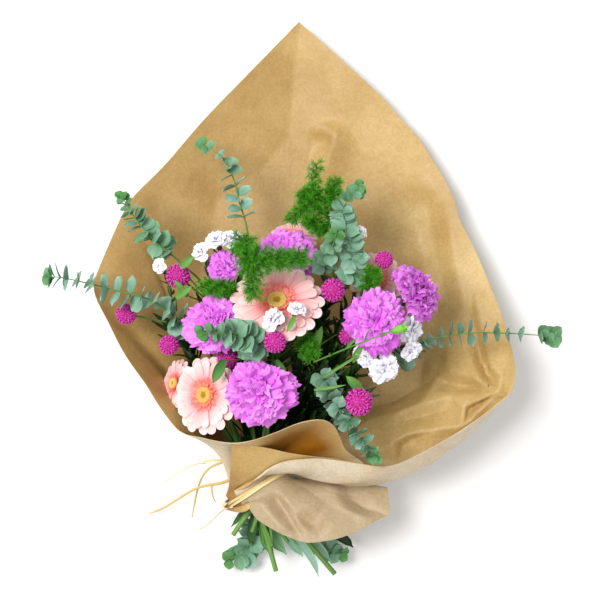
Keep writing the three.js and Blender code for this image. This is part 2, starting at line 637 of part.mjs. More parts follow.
function fern({ name, sprays, spray, needle, route, arm }, seed) {
  const draw = seeded(seed);
  const stalks = [route, arm].filter(Boolean).map((points) => path(points));
  const pieces = [];
  for (let i = 0; i < sprays * stalks.length; i += 1) {
    const curve = new THREE.CatmullRomCurve3(stalks[i % stalks.length]);
    const along = 0.16 + (0.84 * (Math.floor(i / stalks.length) + 0.5)) / sprays;
    const spot = curve.getPoint(along);
    const ahead = curve.getTangent(along);
    const turn = i * SPIRAL + draw();
    const across = v3(0, 0, 1).cross(ahead).normalize();
    const up = ahead.clone().cross(across).normalize();
    const out = across.multiplyScalar(Math.cos(turn)).addScaledVector(up, Math.sin(turn));
    const direction = out.addScaledVector(ahead, 0.9).normalize();
    const length = spray * (1 - 0.55 * along);
    pieces.push([1, 0.7, 0.45].map((part) => () => (
      place(sprayOf(length * part, needle * part), facing(spot, direction, i))
    )));
  }
  grow(name, stalks.map((points) => stalk(points, 0.9, 5, 3)), pieces, 'fern');
}

// A budded side stem that crosses over the right carnation
const BUD_ROUTE = [[14, -62, 150], [38, -52, 176], [70, -40, 192], [97, -31, 190]];

function budStem() {
  const route = path(BUD_ROUTE);
  const tip = route[3];
  const direction = tip.clone().sub(route[2]).normalize();
  const bud = place(solidOf(new THREE.SphereGeometry(5.2, 7, 5).scale(1, 1.7, 1)
    .rotateX(QUARTER).translate(0, 0, 7)), facing(tip, direction));
  const leaves = [-1, 1].map((side) => {
    const reach = direction.clone().applyAxisAngle(v3(0, 0, 1), side * 0.6);
    const broad = v3(0, 0, 1).cross(reach).normalize();
    const matrix = new THREE.Matrix4()
      .makeBasis(reach, broad, reach.clone().cross(broad))
      .setPosition(route[2]);
    return [() => place(blade([
      { reach: 0.2, rise: 0, half: 1.4 }, { reach: 12, rise: 2, half: 2.2 },
      { reach: 24, rise: 1, half: 0.6 },
    ], LEAF), matrix)];
  });
  grow('bud_stem', [stalk(route, 1.1, 7, 4), bud], leaves, 'leaf');
}

// Raffia: a flat band drawn tight round the paper's neck, a knot and loose ends on the left
const KNOT_ANGLE = 172;
const RAFFIA_STEPS = 20;
const RAFFIA_SEAT = 1.7;
const KNOT = { radius: 5, shape: [0.8, 1.3, 1.1] };
const TAIL_RADIUS = 0.8;
const RAFFIA_ROUND = [
  [172, LAYER_RADII.flap + 4.6], [192, LAYER_RADII.inner + 2], [230, LAYER_RADII.inner + 0.7],
  [330, LAYER_RADII.inner + 1], [380, LAYER_RADII.outer], [502, LAYER_RADII.outer],
  [532, LAYER_RADII.flap + 4.6],
];
const RAFFIA_TAILS = [
  [[-76, -203, 50], [-92, -192, 44], [-120, -198, 30], [-151, -214, 10]],
  [[-76, -200, 54], [-84, -164, 66], [-96, -162, 60], [-100, -184, 40], [-108, -218, 12]],
  [[-77, -206, 46], [-86, -208, 40], [-94, -222, 24], [-106, -231, 8]],
];

function raffia() {
  const half = NECK_HALF.clone().setLength(RAFFIA_WIDTH / 2);
  const rows = [];
  for (let i = 0; i <= RAFFIA_STEPS; i += 1) {
    const angle = KNOT_ANGLE + (i * 360) / RAFFIA_STEPS;
    const middle = atNeck(angle, ramp(RAFFIA_ROUND, angle)[0] + RAFFIA_SEAT);
    rows.push([middle.clone().sub(half), middle.clone().add(half)]);
  }
  const knotPlace = rows[0][0].clone().lerp(rows[0][1], 0.5);
  const knotBall = solidOf(new THREE.SphereGeometry(KNOT.radius, 7, 5).scale(...KNOT.shape));
  const knotAt = () => knotBall.translate([knotPlace.x, knotPlace.y, knotPlace.z]);
  while (!isClear(knotAt())) knotPlace.x -= 0.5;
  const tails = RAFFIA_TAILS.map((route) => {
    const points = path(route);
    points[0].copy(knotPlace);
    return [() => stalk(points, TAIL_RADIUS, 7, 3)];
  });
  grow('raffia', [sheet(rows, 1), knotAt()], tails, 'raffia');
}

paperWrap();
GERBERAS.forEach((flower, i) => gerbera(flower, i));
CARNATIONS.forEach((flower, i) => carnation(flower, i, 'carnation', CARNATION_LAYERS, 14));
WHITE_BLOOMS.forEach((flower, i) => carnation(flower, i, 'white', WHITE_LAYERS, 10));
GOMPHRENAS.forEach((globe, i) => gomphrena(`gomphrena_${i + 1}`, globe));
raffia();
EUCALYPTUS.forEach((branch, i) => leafyStem(branch, 11 + i));
FERNS.forEach((frond, i) => fern(frond, 31 + i));
budStem();

// Where each stem ends: close under its bloom, branch, frond or fork
function baseOf({ at, face }, depth) {
  const direction = v3(...face).normalize();
  return { base: above(...at).addScaledVector(direction, -depth - CLEARANCE), direction };
}

const centres = GERBERAS.map((flower) => ({ ...baseOf(flower, RECEPTACLE_DEPTH), radius: 2.4 }));
const ruffles = CARNATIONS.map((flower) => (
  { ...baseOf(flower, flower.size * CALYX_DEPTH), radius: 2, cup: flower.size * 0.14 }
));
const [forkLeft, forkMiddle, forkRight, forkBack] = path([
  [-86, -6, 84], [-24, -60, 100], [66, -56, 92], [34, 20, 90],
]);
const nearest = (base) => [forkLeft, forkMiddle, forkRight, forkBack].reduce((best, p) => (
  p.distanceTo(base) < best.distanceTo(base) ? p : best
));
const sprays = WHITE_BLOOMS.map((flower) => {
  const base = baseOf(flower, flower.size * CALYX_DEPTH);
  return { ...base, radius: 0.9, from: nearest(base.base), via: flower.via };
});
const globes = GOMPHRENAS.map(([x, y, z, radius]) => {
  const centre = above(x, y, z);
  const from = nearest(centre);
  const direction = centre.clone().sub(from).normalize();
  const base = centre.clone().addScaledVector(direction, -radius - CLEARANCE);
  return { base, direction, radius: 0.9, from };
});
const forks = [forkLeft, forkMiddle, forkRight, forkBack].map((base) => (
  { base, direction: v3(0, 0.6, 0.8), radius: 1.8, fork: 4.5 }
));
const twigs = [...EUCALYPTUS, ...FERNS, { route: BUD_ROUTE }].map(({ route }) => {
  const [root, next] = path(route.slice(0, 2));
  const direction = next.clone().sub(root).normalize();
  const base = root.clone().addScaledVector(direction, -CLEARANCE);
  const belowTie = route[0][1] < NECK[1];
  return { base, direction, radius: 1.1, from: belowTie ? atNeck(0, 0) : nearest(root) };
});
stems([...centres, ...ruffles, ...forks, ...sprays, ...globes, ...twigs]);

// The origin goes under the middle of the bouquet
const whole = new THREE.Box3().setFromObject(group);
const middle = whole.getCenter(v3(0, 0, 0));
group.position.set(-middle.x, -middle.y, -whole.min.z);

export default group;
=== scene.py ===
# Mixed flower bouquet in kraft paper, tied with raffia and lying on its back.
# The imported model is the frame: +Z up, cut stems towards -Y, the paper's tall corner towards +Y.
# Shapes are worked out in millimetres and turned to metres when a piece is built.
import math
import random

import bpy
import numpy as np
from mathutils import Matrix, Vector, noise
from mathutils.geometry import delaunay_2d_cdt


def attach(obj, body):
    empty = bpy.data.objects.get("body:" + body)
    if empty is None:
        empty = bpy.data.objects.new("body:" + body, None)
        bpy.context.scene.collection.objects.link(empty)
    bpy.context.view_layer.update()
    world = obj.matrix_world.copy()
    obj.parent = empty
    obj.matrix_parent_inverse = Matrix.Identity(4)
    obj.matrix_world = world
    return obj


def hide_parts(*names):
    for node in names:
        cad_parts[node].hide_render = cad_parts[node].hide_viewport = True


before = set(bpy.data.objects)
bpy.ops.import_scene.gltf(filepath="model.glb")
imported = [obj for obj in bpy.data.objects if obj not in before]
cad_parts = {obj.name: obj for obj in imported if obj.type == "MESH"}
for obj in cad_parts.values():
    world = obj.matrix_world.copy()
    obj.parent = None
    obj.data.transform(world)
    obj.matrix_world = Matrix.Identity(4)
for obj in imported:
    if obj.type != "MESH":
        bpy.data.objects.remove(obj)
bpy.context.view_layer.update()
print("frame loaded:", len(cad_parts), "nodes")

# Places are read from straight above, one millimetre to a pixel at the height of the blooms
eye = {"height": 1500.0, "bloomHeight": 130.0, "across": 600.0}
shift = Vector((-0.467, -1.620, 0.0))  # moves the origin under the middle of the bouquet
golden = 2.39996  # radians between one petal or scale and the next in a spiral
millimetre = 0.001  # in metres


def spreadAt(z):
    # From above, what is higher looks further out than it is, and what is lower further in
    return (eye["height"] - z) / (eye["height"] - eye["bloomHeight"])


def above(x, y, z):
    return Vector((x * spreadAt(z), y * spreadAt(z), z)) + shift


def smoothThrough(rows, spots, corners=()):
    # Catmull-Rom through rows of numbers, sharp at the corners
    rows = np.array(rows, float)
    last = len(rows) - 1
    made = []
    for spot in spots:
        i = min(int(spot), last - 1)
        t = spot - i
        p1, p2 = rows[i], rows[i + 1]
        p0 = rows[i - 1] if i > 0 and i not in corners else 2 * p1 - p2
        p3 = rows[i + 2] if i + 2 <= last and i + 1 not in corners else 2 * p2 - p1
        made.append(0.5 * (2 * p1 + (p2 - p0) * t + (2 * p0 - 5 * p1 + 4 * p2 - p3) * t * t
                           + (3 * p1 - p0 - 3 * p2 + p3) * t ** 3))
    return np.array(made)


def route(places, steps):
    points = [above(*place) for place in places]
    return smoothThrough(points, np.linspace(0, len(points) - 1, steps))


def ramp(table, at):
    table = np.array(table, float)
    return [float(np.interp(at, table[:, 0], table[:, k])) for k in range(1, table.shape[1])]


def facing(place, direction, roll=0.0):
    turn = Vector((0, 0, 1)).rotation_difference(Vector(direction).normalized())
    return Matrix.Translation(place) @ turn.to_matrix().to_4x4() @ Matrix.Rotation(roll, 4, "Z")


def placed(grid, matrix):
    turn = np.array(matrix.to_3x3())
    return grid @ turn.T + np.array(matrix.translation)


def framesAlong(points):
    # Tangent, side and up at each point of a curve, without twist
    tangents = np.gradient(points, axis=0)
    tangents /= np.linalg.norm(tangents, axis=1)[:, None]
    side = np.cross([0, 0, 1], tangents[0])
    if np.linalg.norm(side) < 0.1:
        side = np.cross([0, 1, 0], tangents[0])
    sides = []
    for tangent in tangents:
        side = side - tangent * side.dot(tangent)
        side = side / np.linalg.norm(side)
        sides.append(side)
    sides = np.array(sides)
    return tangents, sides, np.cross(tangents, sides)


def frameAt(points, k):
    # The point k of a curve, with the ways ahead, aside and up from there
    return [Vector(rows[k]) for rows in (points, *framesAlong(points))]


def axes(reach, broad, up, place):
    # Matrix that turns +X, +Y and +Z to these three and moves there
    matrix = Matrix((reach, broad, up)).transposed().to_4x4()
    matrix.translation = place
    return matrix


def tube(points, radii, sides):
    points = np.array(points)
    _, side, up = framesAlong(points)
    turns = np.linspace(0, 2 * math.pi, sides, endpoint=False)
    radii = np.broadcast_to(np.array(radii, float), len(points))
    ring = np.cos(turns)[None, :, None] * side[:, None] + np.sin(turns)[None, :, None] * up[:, None]
    return points[:, None] + ring * radii[:, None, None]


def turned(profile, sides, flute=0.0, teeth=0.0):
    # A profile of radius and height turned about +Z, with five flutes and teeth as on a calyx
    profile = np.array(profile, float)
    turns = np.linspace(0, 2 * math.pi, sides, endpoint=False)
    radius = profile[:, :1] * (1 + flute * np.cos(turns * 5))
    grid = np.stack([radius * np.cos(turns), radius * np.sin(turns),
                     profile[:, 1:] + 0 * turns], -1)
    grid[-1, :, 2] += teeth * np.cos(turns * 5)
    return grid


def addObject(name, data, place=(0, 0, 0)):
    made = bpy.data.objects.new(name, data)
    made.location = place
    bpy.context.scene.collection.objects.link(made)
    return made


class Piece:
    def __init__(self):
        self.points, self.quads, self.uvs, self.tints, self.finishes = [], [], [], [], []
        self.count = 0

    # Adds a grid of points as one patch; u runs across its rows and v along them
    def patch(self, grid, finish=0, tint=0.5, closed=False, back=False):
        rows, columns = grid.shape[:2]
        index = np.arange(rows * columns).reshape(rows, columns) + self.count
        v, u = np.meshgrid(np.linspace(0, 1, rows), np.linspace(0, 1, columns), indexing="ij")
        if closed:
            index = np.concatenate([index, index[:, :1]], axis=1)
        quads = np.stack([index[:-1, :-1], index[:-1, 1:], index[1:, 1:], index[1:, :-1]], -1)
        quads = quads.reshape(-1, 4)
        if back:
            quads = quads[:, [0, 3, 2, 1]]
        self.points.append(grid.reshape(-1, 3))
        self.quads.append(quads)
        self.uvs.append(np.stack([u, v], -1).reshape(-1, 2))
        self.tints.append(np.broadcast_to(tint, (rows, columns)).reshape(-1))
        self.finishes.append(np.full(len(quads), finish))
        self.count += rows * columns

    def build(self, name, nodes, materials):
        quads = np.concatenate(self.quads)
        uvs = np.concatenate(self.uvs)
        mesh = bpy.data.meshes.new(name)
        mesh.vertices.add(self.count)
        mesh.vertices.foreach_set("co", (np.concatenate(self.points) * millimetre).ravel())
        mesh.loops.add(quads.size)
        mesh.loops.foreach_set("vertex_index", quads.ravel())
        mesh.polygons.add(len(quads))
        mesh.polygons.foreach_set("loop_start", np.arange(0, quads.size, 4))
        mesh.uv_layers.new(name="place").data.foreach_set("uv", uvs[quads.ravel()].ravel())
        tint = mesh.attributes.new("tint", "FLOAT", "POINT")
        tint.data.foreach_set("value", np.concatenate(self.tints).astype(np.float32))
        for material in materials:
            mesh.materials.append(material)
        mesh.polygons.foreach_set("material_index", np.concatenate(self.finishes))
        mesh.update(calc_edges=True)
        mesh.shade_smooth()
        made = addObject(name, mesh)
        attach(made, "root")
        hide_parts(*nodes)


# Materials
def srgb(code):
    parts = [int(code[i:i + 2], 16) / 255 for i in (1, 3, 5)]
    return [p / 12.92 if p <= 0.04045 else ((p + 0.055) / 1.055) ** 2.4 for p in parts] + [1.0]


def addNode(tree, kind, settings=None, links=None):
    made = tree.nodes.new("ShaderNode" + kind)
    for key, value in (settings or {}).items():
        if key == "stops":
            stops = made.color_ramp.elements
            while len(stops) < len(value):
                stops.new(1.0)
            for stop, (position, code) in zip(stops, value):
                stop.position, stop.color = position, srgb(code)
        elif isinstance(key, int) or key in made.inputs:
            made.inputs[key].default_value = value
        else:
            setattr(made, key, value)
    for key, source in (links or {}).items():
        tree.links.new(source, made.inputs[key])
    return made


def startMaterial(name, settings):
    material = bpy.data.materials.new(name)
    material.use_nodes = True
    tree = material.node_tree
    shader = tree.nodes["Principled BSDF"]
    for key, value in settings.items():
        shader.inputs[key].default_value = value
    return material, tree, shader


def blended(tree, first, second, factor, mode="MIX"):
    # first and second are hex colours or sockets, factor is a number or a socket
    mix = addNode(tree, "Mix", {"data_type": "RGBA", "blend_type": mode})
    for key, value in ((0, factor), (6, first), (7, second)):
        if isinstance(value, str):
            mix.inputs[key].default_value = srgb(value)
        elif isinstance(value, (int, float)):
            mix.inputs[key].default_value = value
        else:
            tree.links.new(value, mix.inputs[key])
    return mix.outputs[2]


# Kraft paper, unbleached and machine glazed: a low sheen, cloudy pulp and fine fibres. It is golden
# inside and pale outside. Its darker tints are painted shade: deep golden brown with warm painted
# bounce light where the paper lies in shade and two faces light each other, and a darker beige on
# the skirt.
kraftTints = {"deep": 0.0, "golden": 0.3, "pale": 0.7, "skirtShade": 1.0}


def kraftPaper():
    material, tree, shader = startMaterial("kraftPaper", {
        "Roughness": 0.5, "Specular IOR Level": 0.42, "IOR": 1.5})
    spot = addNode(tree, "TexCoord").outputs["Object"]
    side = addNode(tree, "Attribute", {"attribute_name": "tint"}).outputs["Fac"]
    # Tint ramp: the first stop is painted shade with painted bounce light, the last is painted
    # shade on the skirt
    face = addNode(tree, "ValToRGB", {"stops": [
        (kraftTints["deep"], "#9A6200"), (kraftTints["golden"], "#D4B87C"),
        (kraftTints["pale"], "#E6DAC4"), (kraftTints["skirtShade"], "#BEAC8E")]},
        {"Fac": side}).outputs["Color"]
    clouds = addNode(tree, "TexNoise", {"Scale": 18.0, "Detail": 6.0, "Roughness": 0.6},
                     {"Vector": spot})  # pulp clouds, about 55 mm
    cloudRamp = addNode(tree, "ValToRGB", {"stops": [(0.3, "#D9CBB2"), (0.7, "#FFFFFF")]},
                        {"Fac": clouds.outputs["Fac"]})
    flecks = addNode(tree, "TexNoise", {"Scale": 330.0, "Detail": 3.0, "Roughness": 0.7},
                     {"Vector": spot})  # fibres of 1 mm, drawn at 3 mm so that they show
    fleckRamp = addNode(tree, "ValToRGB", {"stops": [(0.35, "#E6DCC8"), (0.65, "#FFFFFF")]},
                        {"Fac": flecks.outputs["Fac"]})
    cloudy = blended(tree, face, cloudRamp.outputs["Color"], 0.8, "MULTIPLY")
    flecked = blended(tree, cloudy, fleckRamp.outputs["Color"], 0.6, "MULTIPLY")
    tree.links.new(flecked, shader.inputs["Base Color"])
    crumple = addNode(tree, "TexNoise", {"Scale": 42.0, "Detail": 4.0, "Roughness": 0.55},
                      {"Vector": spot})  # handling marks, 20 to 25 mm
    soft = addNode(tree, "Bump", {"Strength": 0.35, "Distance": 0.0035},
                   {"Height": crumple.outputs["Fac"]})
    fine = addNode(tree, "Bump", {"Strength": 0.12, "Distance": 0.0006},
                   {"Height": flecks.outputs["Fac"], "Normal": soft.outputs["Normal"]})
    tree.links.new(fine.outputs["Normal"], shader.inputs["Normal"])
    return material


# Living petals, bracts and leaves: soft colour that changes from root to tip, with veins that
# run along them. stops gives the colour along the petal, veins how many show across it, and
# deeper the colour that veins and the darker petals are multiplied by.
def petalSkin(name, stops, veins, deeper, settings):
    material, tree, shader = startMaterial(name, settings)
    place = addNode(tree, "SeparateXYZ", {}, {"Vector": addNode(tree, "UVMap").outputs["UV"]})
    along = addNode(tree, "ValToRGB", {"stops": stops}, {"Fac": place.outputs["Y"]})
    tint = addNode(tree, "Attribute", {"attribute_name": "tint"}).outputs["Fac"]
    varied = blended(tree, along.outputs["Color"], deeper, tint, "MULTIPLY")
    lines = addNode(tree, "Math", {"operation": "MULTIPLY", 1: veins * 2 * math.pi},
                    {0: place.outputs["X"]})
    wave = addNode(tree, "Math", {"operation": "SINE"}, {0: lines.outputs[0]})
    height = addNode(tree, "MapRange", {"From Min": -1.0}, {"Value": wave.outputs[0]})
    faint = addNode(tree, "Math", {"operation": "MULTIPLY", 1: 0.22}, {0: height.outputs[0]})
    veined = blended(tree, varied, deeper, faint.outputs[0], "MULTIPLY")
    tree.links.new(veined, shader.inputs["Base Color"])
    bump = addNode(tree, "Bump", {"Strength": 0.25, "Distance": 0.0004},
                   {"Height": height.outputs[0]})  # 0.1 mm, drawn at 0.4 mm so that it shows
    tree.links.new(bump.outputs["Normal"], shader.inputs["Normal"])
    return material


softPetal = {"Roughness": 0.6, "Specular IOR Level": 0.3, "Subsurface Weight": 0.12,
             "Subsurface Scale": 0.003}
waxyLeaf = {"Roughness": 0.5, "Specular IOR Level": 0.4}

kraft = kraftPaper()
# Gerbera rays: velvety, coral at the root and pale peach at the tip
gerberaRay = petalSkin("gerberaRay", [
    (0.0, "#F06C72"), (0.2, "#F58C8C"), (0.42, "#F9C0BE"), (1.0, "#FFE9E6")], 3,
    "#F6C8C6", softPetal)
gerberaInnerRay = petalSkin("gerberaInnerRay", [
    (0.0, "#F8C468"), (0.35, "#FAA088"), (1.0, "#FB9C98")], 1, "#F49490", softPetal)
# Gerbera disc: packed florets with pollen, yellow round a green middle
gerberaDisc = petalSkin("gerberaDisc", [
    (0.0, "#E4B450"), (0.5, "#F8D078"), (1.0, "#FFE8A0")], 1, "#DCCC74",
    {"Roughness": 0.8, "Specular IOR Level": 0.2})
# Carnation: thin matt petals, orchid purple, darker at the root: painted shade deeper down between
# them
orchidPetal = petalSkin("orchidPetal", [
    (0.0, "#A43CB4"), (0.5, "#D062D4"), (0.8, "#E888E8"), (1.0, "#F0A2EE")], 5,
    "#E494EA", softPetal)
# White spray carnations: greyer lilac at the root, painted shade down between the petals
whitePetal = petalSkin("whitePetal", [
    (0.0, "#D2CCDC"), (0.4, "#F0EEF4"), (1.0, "#FDFCFE")], 4, "#EEE8F4", softPetal)
# Globe amaranth: dry papery bracts with a silky gloss
magentaBract = petalSkin("magentaBract", [
    (0.0, "#BC2C94"), (0.5, "#DC3CB4"), (1.0, "#F06CD0")], 1, "#F0B4E0",
    {"Roughness": 0.45, "Specular IOR Level": 0.5})
# Eucalyptus: grey-green under a bloom of wax, fresh green at the tips
greyLeaf = petalSkin("greyLeaf", [
    (0.0, "#749A86"), (0.5, "#8EB2A2"), (0.88, "#A0C4B4"), (1.0, "#D0E2DA")], 2, "#98C474",
    {"Roughness": 0.62, "Specular IOR Level": 0.3})
# Asparagus fern: fine bright green needles
fernNeedle = petalSkin("fernNeedle", [
    (0.0, "#3E8A12"), (0.5, "#5CAE22"), (1.0, "#8CD048")], 1, "#A8E070", waxyLeaf)
# Stems and leaves of carnation and gerbera: smooth, a little waxy
greenStem = petalSkin("greenStem", [
    (0.0, "#6E9A48"), (0.5, "#5F9440"), (1.0, "#78A94F")], 3, "#8FAE62", waxyLeaf)
# Its deeper colour is painted shade on the stems' leaves low in the bouquet, and a darker tone
# elsewhere
greenLeaf = petalSkin("greenLeaf", [
    (0.0, "#3A6C28"), (0.6, "#4C8436"), (1.0, "#6CA04A")], 2, "#325028", waxyLeaf)
# Calyx of a carnation bud: fresh yellow green
freshGreen = petalSkin("freshGreen", [
    (0.0, "#5EA22C"), (0.5, "#7CC63C"), (1.0, "#9ADC5C")], 2, "#9CD060", waxyLeaf)
# Raffia: strips of dried palm leaf, pale straw with a satin gloss along the fibre
raffiaStrip = petalSkin("raffiaStrip", [
    (0.0, "#DAC284"), (0.5, "#E8D69E"), (1.0, "#EEE0B0")], 5, "#DCC684",
    {"Roughness": 0.45, "Specular IOR Level": 0.4})
print("materials made")

# Kraft-paper wrap: one sheet, listed round its free edge. Each entry is x, y, height and the
# angle at which the paper passes through the tie.
wrap = {
    "thickness": 0.7,
    "neck": (-41, -186, 47), "slant": 0.6, "neckLength": 19,
    "bellyAt": 0.45, "skirtBulge": 1.5,
    "steps": [  # from this angle on, millimetres between two columns
        (0, 6.5), (266, 6.5), (268, 3.0), (283, 3.0), (284, 2.35), (374, 2.35), (376, 3.5),
        (500, 3.5)],
    "hemRows": 20, "neckRows": 4, "coneRows": 92,
    # Pleats run out of the tie and die away up the cone, and open down the skirt
    "pleats": 15, "pleatDepth": 1.6, "pleatRise": 16, "pleatFade": 60,
    "skirtPleats": 10, "skirtDepth": 3.4, "skirtRise": 40,
    "swells": [(70, 2.2), (26, 0.5)],  # size and height of soft swells all over the sheet
    "flapRadius": 25.0, "flapTuck": 1.7, "flapStretch": 4, "flapHem": (0, -17, 2),
    "frontEndsAt": 160, "frontHem": (0, -15, -1),
    "flapEdge": [
        (-69, -145, 108, 168), (-37, -148, 111, 130), (-4, -154, 110, 98), (30, -158, 107, 68),
        (54, -163, 103, 44), (66, -166, 100, 34)],
    "innerEdge": [
        (60, -160, 100, 40), (46, -150, 113, 50), (40, -138, 131, 58), (34, -127, 144, 66),
        (24, -121, 150, 74), (11, -121, 150, 82), (-4, -124, 146, 91), (-22, -131, 136, 101),
        (-45, -139, 126, 113), (-69, -142, 118, 125), (-99, -137, 113, 138),
        (-120, -131, 110, 149), (-140, -108, 108, 160), (-155, -85, 104, 170),
        (-175, -55, 92, 180), (-190, -25, 78, 190), (-206, 9, 62, 200), (-202, 30, 54, 206),
        (-178, 85, 40, 220), (-165, 105, 36, 226), (-135, 135, 32, 235), (-95, 182, 29, 247),
        (-50, 228, 27, 258), (-1, 278, 26, 268), (75, 210, 26, 284), (100, 182, 28, 291),
        (120, 160, 29, 297), (150, 110, 34, 309), (160, 80, 38, 316), (175, 50, 44, 323),
        (190, 15, 52, 330), (200, -10, 60, 336), (208, -35, 70, 342), (214, -60, 80, 347),
        (215, -75, 86, 352), (212, -91, 92, 357), (198, -104, 97, 362), (182, -116, 101, 367),
        (151, -137, 106, 374), (112, -158, 110, 382), (86, -166, 111, 390),
        (56, -163, 113, 400), (21, -159, 114, 414), (-4, -160, 111, 430), (-20, -163, 106, 448),
        (-32, -169, 98, 470), (-46, -180, 83, 496)],
    "corners": (6, 29),  # the fold of the flap and the tall corner
    "hem": [
        (90, -20, -212, 64), (160, -66, -206, 48), (200, -66, -208, 34), (240, -52, -216, 16),
        (270, -10, -228, 6), (315, 50, -212, 16), (340, 82, -190, 42), (357, 88, -187, 60),
        (374, 88, -214, 76), (390, 62, -229, 86), (410, 37, -239, 91), (432, 4, -243, 90),
        (450, -20, -233, 85), (470, -40, -221, 77), (496, -54, -204, 62)],
    "flapCorner": (-75, -210, 42),
    "layers": [(0, 21.5), (330, 22.5), (380, 28.5), (500, 28.5)],
    # How far the paper bends off the straight line between its tie and its edge, by angle
    "bends": [
        (40, 0, 0, 0), (55, -11, 0, -16), (70, -15, 0, -41), (110, 15, 0, -41),
        (125, 8, 21, -30), (138, 12, 21, -15), (149, 20, 18, -8), (160, 30, 8, -4),
        (170, 34, 5, -2), (180, 40, 0, -3), (190, 44, -8, -8), (200, 44, -12, -14),
        (206, 38, -6, -18), (220, 10, 0, -44), (226, -15, 0, -54), (240, -37, 0, -64),
        (270, 0, 0, -74), (300, 37, 0, -64), (345, 31, -30, -8), (357, 26, -84, -1),
        (367, 20, -84, 2), (374, 15, -66, 4), (382, 11, -46, 4), (390, 8, -34, 5),
        (400, 6, -22, 5), (414, 4, -14, 6), (430, 2, -8, 5), (448, 0, 0, 5), (500, 0, 0, 1)],
    "flapBend": (0, 0, 3),
    # Soft folds: from x, y to x, y in the photograph's pixels, width, height, angles
    "folds": [
        (424, 184, 443, 210, 24, 4, 284, 376), (443, 210, 463, 302, 26, 5, 284, 376),
        (428, 205, 446, 300, 16, -4, 284, 376), (250, 235, 205, 190, 22, -4, 225, 262)],
}

# Crumpled parts of the paper: flat facets between creases. Each crease is a line of points
# x, y in the photograph's pixels and how far the paper stands up there, times the height. The
# edge stays put.
crumples = [
    {"angles": (262, 300), "skirt": False, "height": 1.7,
     "edge": [
         (306, 124), (325, 120.5), (339, 119.5), (348, 126), (362, 152), (374, 183), (352, 196),
         (322, 200), (302, 184), (309, 156), (306, 140)],
     "creases": [
         [(310, 125, 1), (322, 130, 4), (334, 137, 7)], [(314, 137, -1), (326, 142, 0)],
         [(334, 137, 7), (331, 150, 6), (328, 166, 5), (334, 188, 2)]]},
    {"angles": (284, 392), "skirt": False, "height": 1.6,
     "edge": [
         (352, 396), (352, 432), (372, 458), (398, 463), (430, 452), (451, 440), (482, 419),
         (508, 398), (516, 376), (512, 345), (500, 300), (472, 282), (446, 296), (432, 330),
         (424, 356), (398, 372)],
     "creases": [
         [(366, 410, -5), (394, 404, -12), (420, 389, -11), (437, 377, -3)],
         [(366, 421, 1), (398, 412, 3), (417, 404, 5), (430, 391, 3)],
         [(417, 404, 5), (451, 396, 5), (475, 393, 5), (496, 391, 10)],
         [(449, 371, 5), (464, 375, 6), (479, 380, 8)],
         [(437, 377, -3), (450, 384, -5), (466, 387, -4), (496, 391, 10)],
         [(449, 371, 5), (444, 350, 2), (440, 336, 1)],
         [(479, 380, 8), (470, 362, 6), (464, 345, 4)],
         [(496, 391, 10), (490, 376, -5), (483, 361, -5), (478, 343, -3), (472, 318, -1)],
         [(496, 391, 10), (499, 378, 9), (488, 363, 8), (484, 345, 5), (479, 318, 3)],
         [(496, 391, 10), (480, 399, 7), (464, 406, 6)],
         [(464, 406, 6), (462, 425, 7)],
         [(462, 425, 7), (476, 411, 6), (490, 399, 5)],
         [(466, 418, 1), (472, 407, -3), (484, 400, -2)],
         [(462, 425, 7), (432, 429, 7), (405, 434, 5)],
         [(452, 408, 2), (430, 415, -1), (404, 421, -1)],
         [(393, 442, 5), (397, 459, 1)],
         [(405, 434, 5), (393, 442, 5)],
         [(404, 446, -3), (412, 440, -2)]]},
    {"angles": (335, 500), "skirt": True, "height": 1.5,
     "edge": [
         (262, 478), (246, 500), (252, 518), (280, 535), (304, 545), (338, 541), (364, 530),
         (389, 515), (389, 490), (360, 484), (330, 479), (296, 477)],
     "creases": [
         [(268, 480, -2), (272, 486, -5), (275, 497, -6), (285, 513, -5), (298, 534, -2)],
         [(260, 486, 2), (261, 500, 4), (272, 516, 4), (284, 528, 2)],
         [(278, 482, 3), (284, 497, 4), (294, 511, 3), (306, 530, 2)],
         [(333, 485, 4), (344, 508, 5), (369, 519, 3)],
         [(346, 488, -5), (354, 503, -5), (366, 510, -3)],
         [(354, 503, -5), (371, 499, 1), (385, 497, 1)],
         [(344, 508, 5), (330, 524, 3), (322, 540, 1)],
         [(303, 490, 1), (312, 506, 2)], [(304, 520, -2), (314, 526, -3), (322, 516, -1)]]},
]


def atNeck(angle, radius):
    turn = math.radians(angle)
    x, y, z = wrap["neck"]
    return above(x + math.cos(turn) * radius, y + math.cos(turn) * radius * wrap["slant"],
                 z + math.sin(turn) * radius)


def quadratic(start, control, end, rows):
    t = np.linspace(0, 1, rows)[:, None]
    start, control, end = (np.array(p) for p in (start, control, end))
    return start * (1 - t) ** 2 + control * 2 * t * (1 - t) + end * t * t


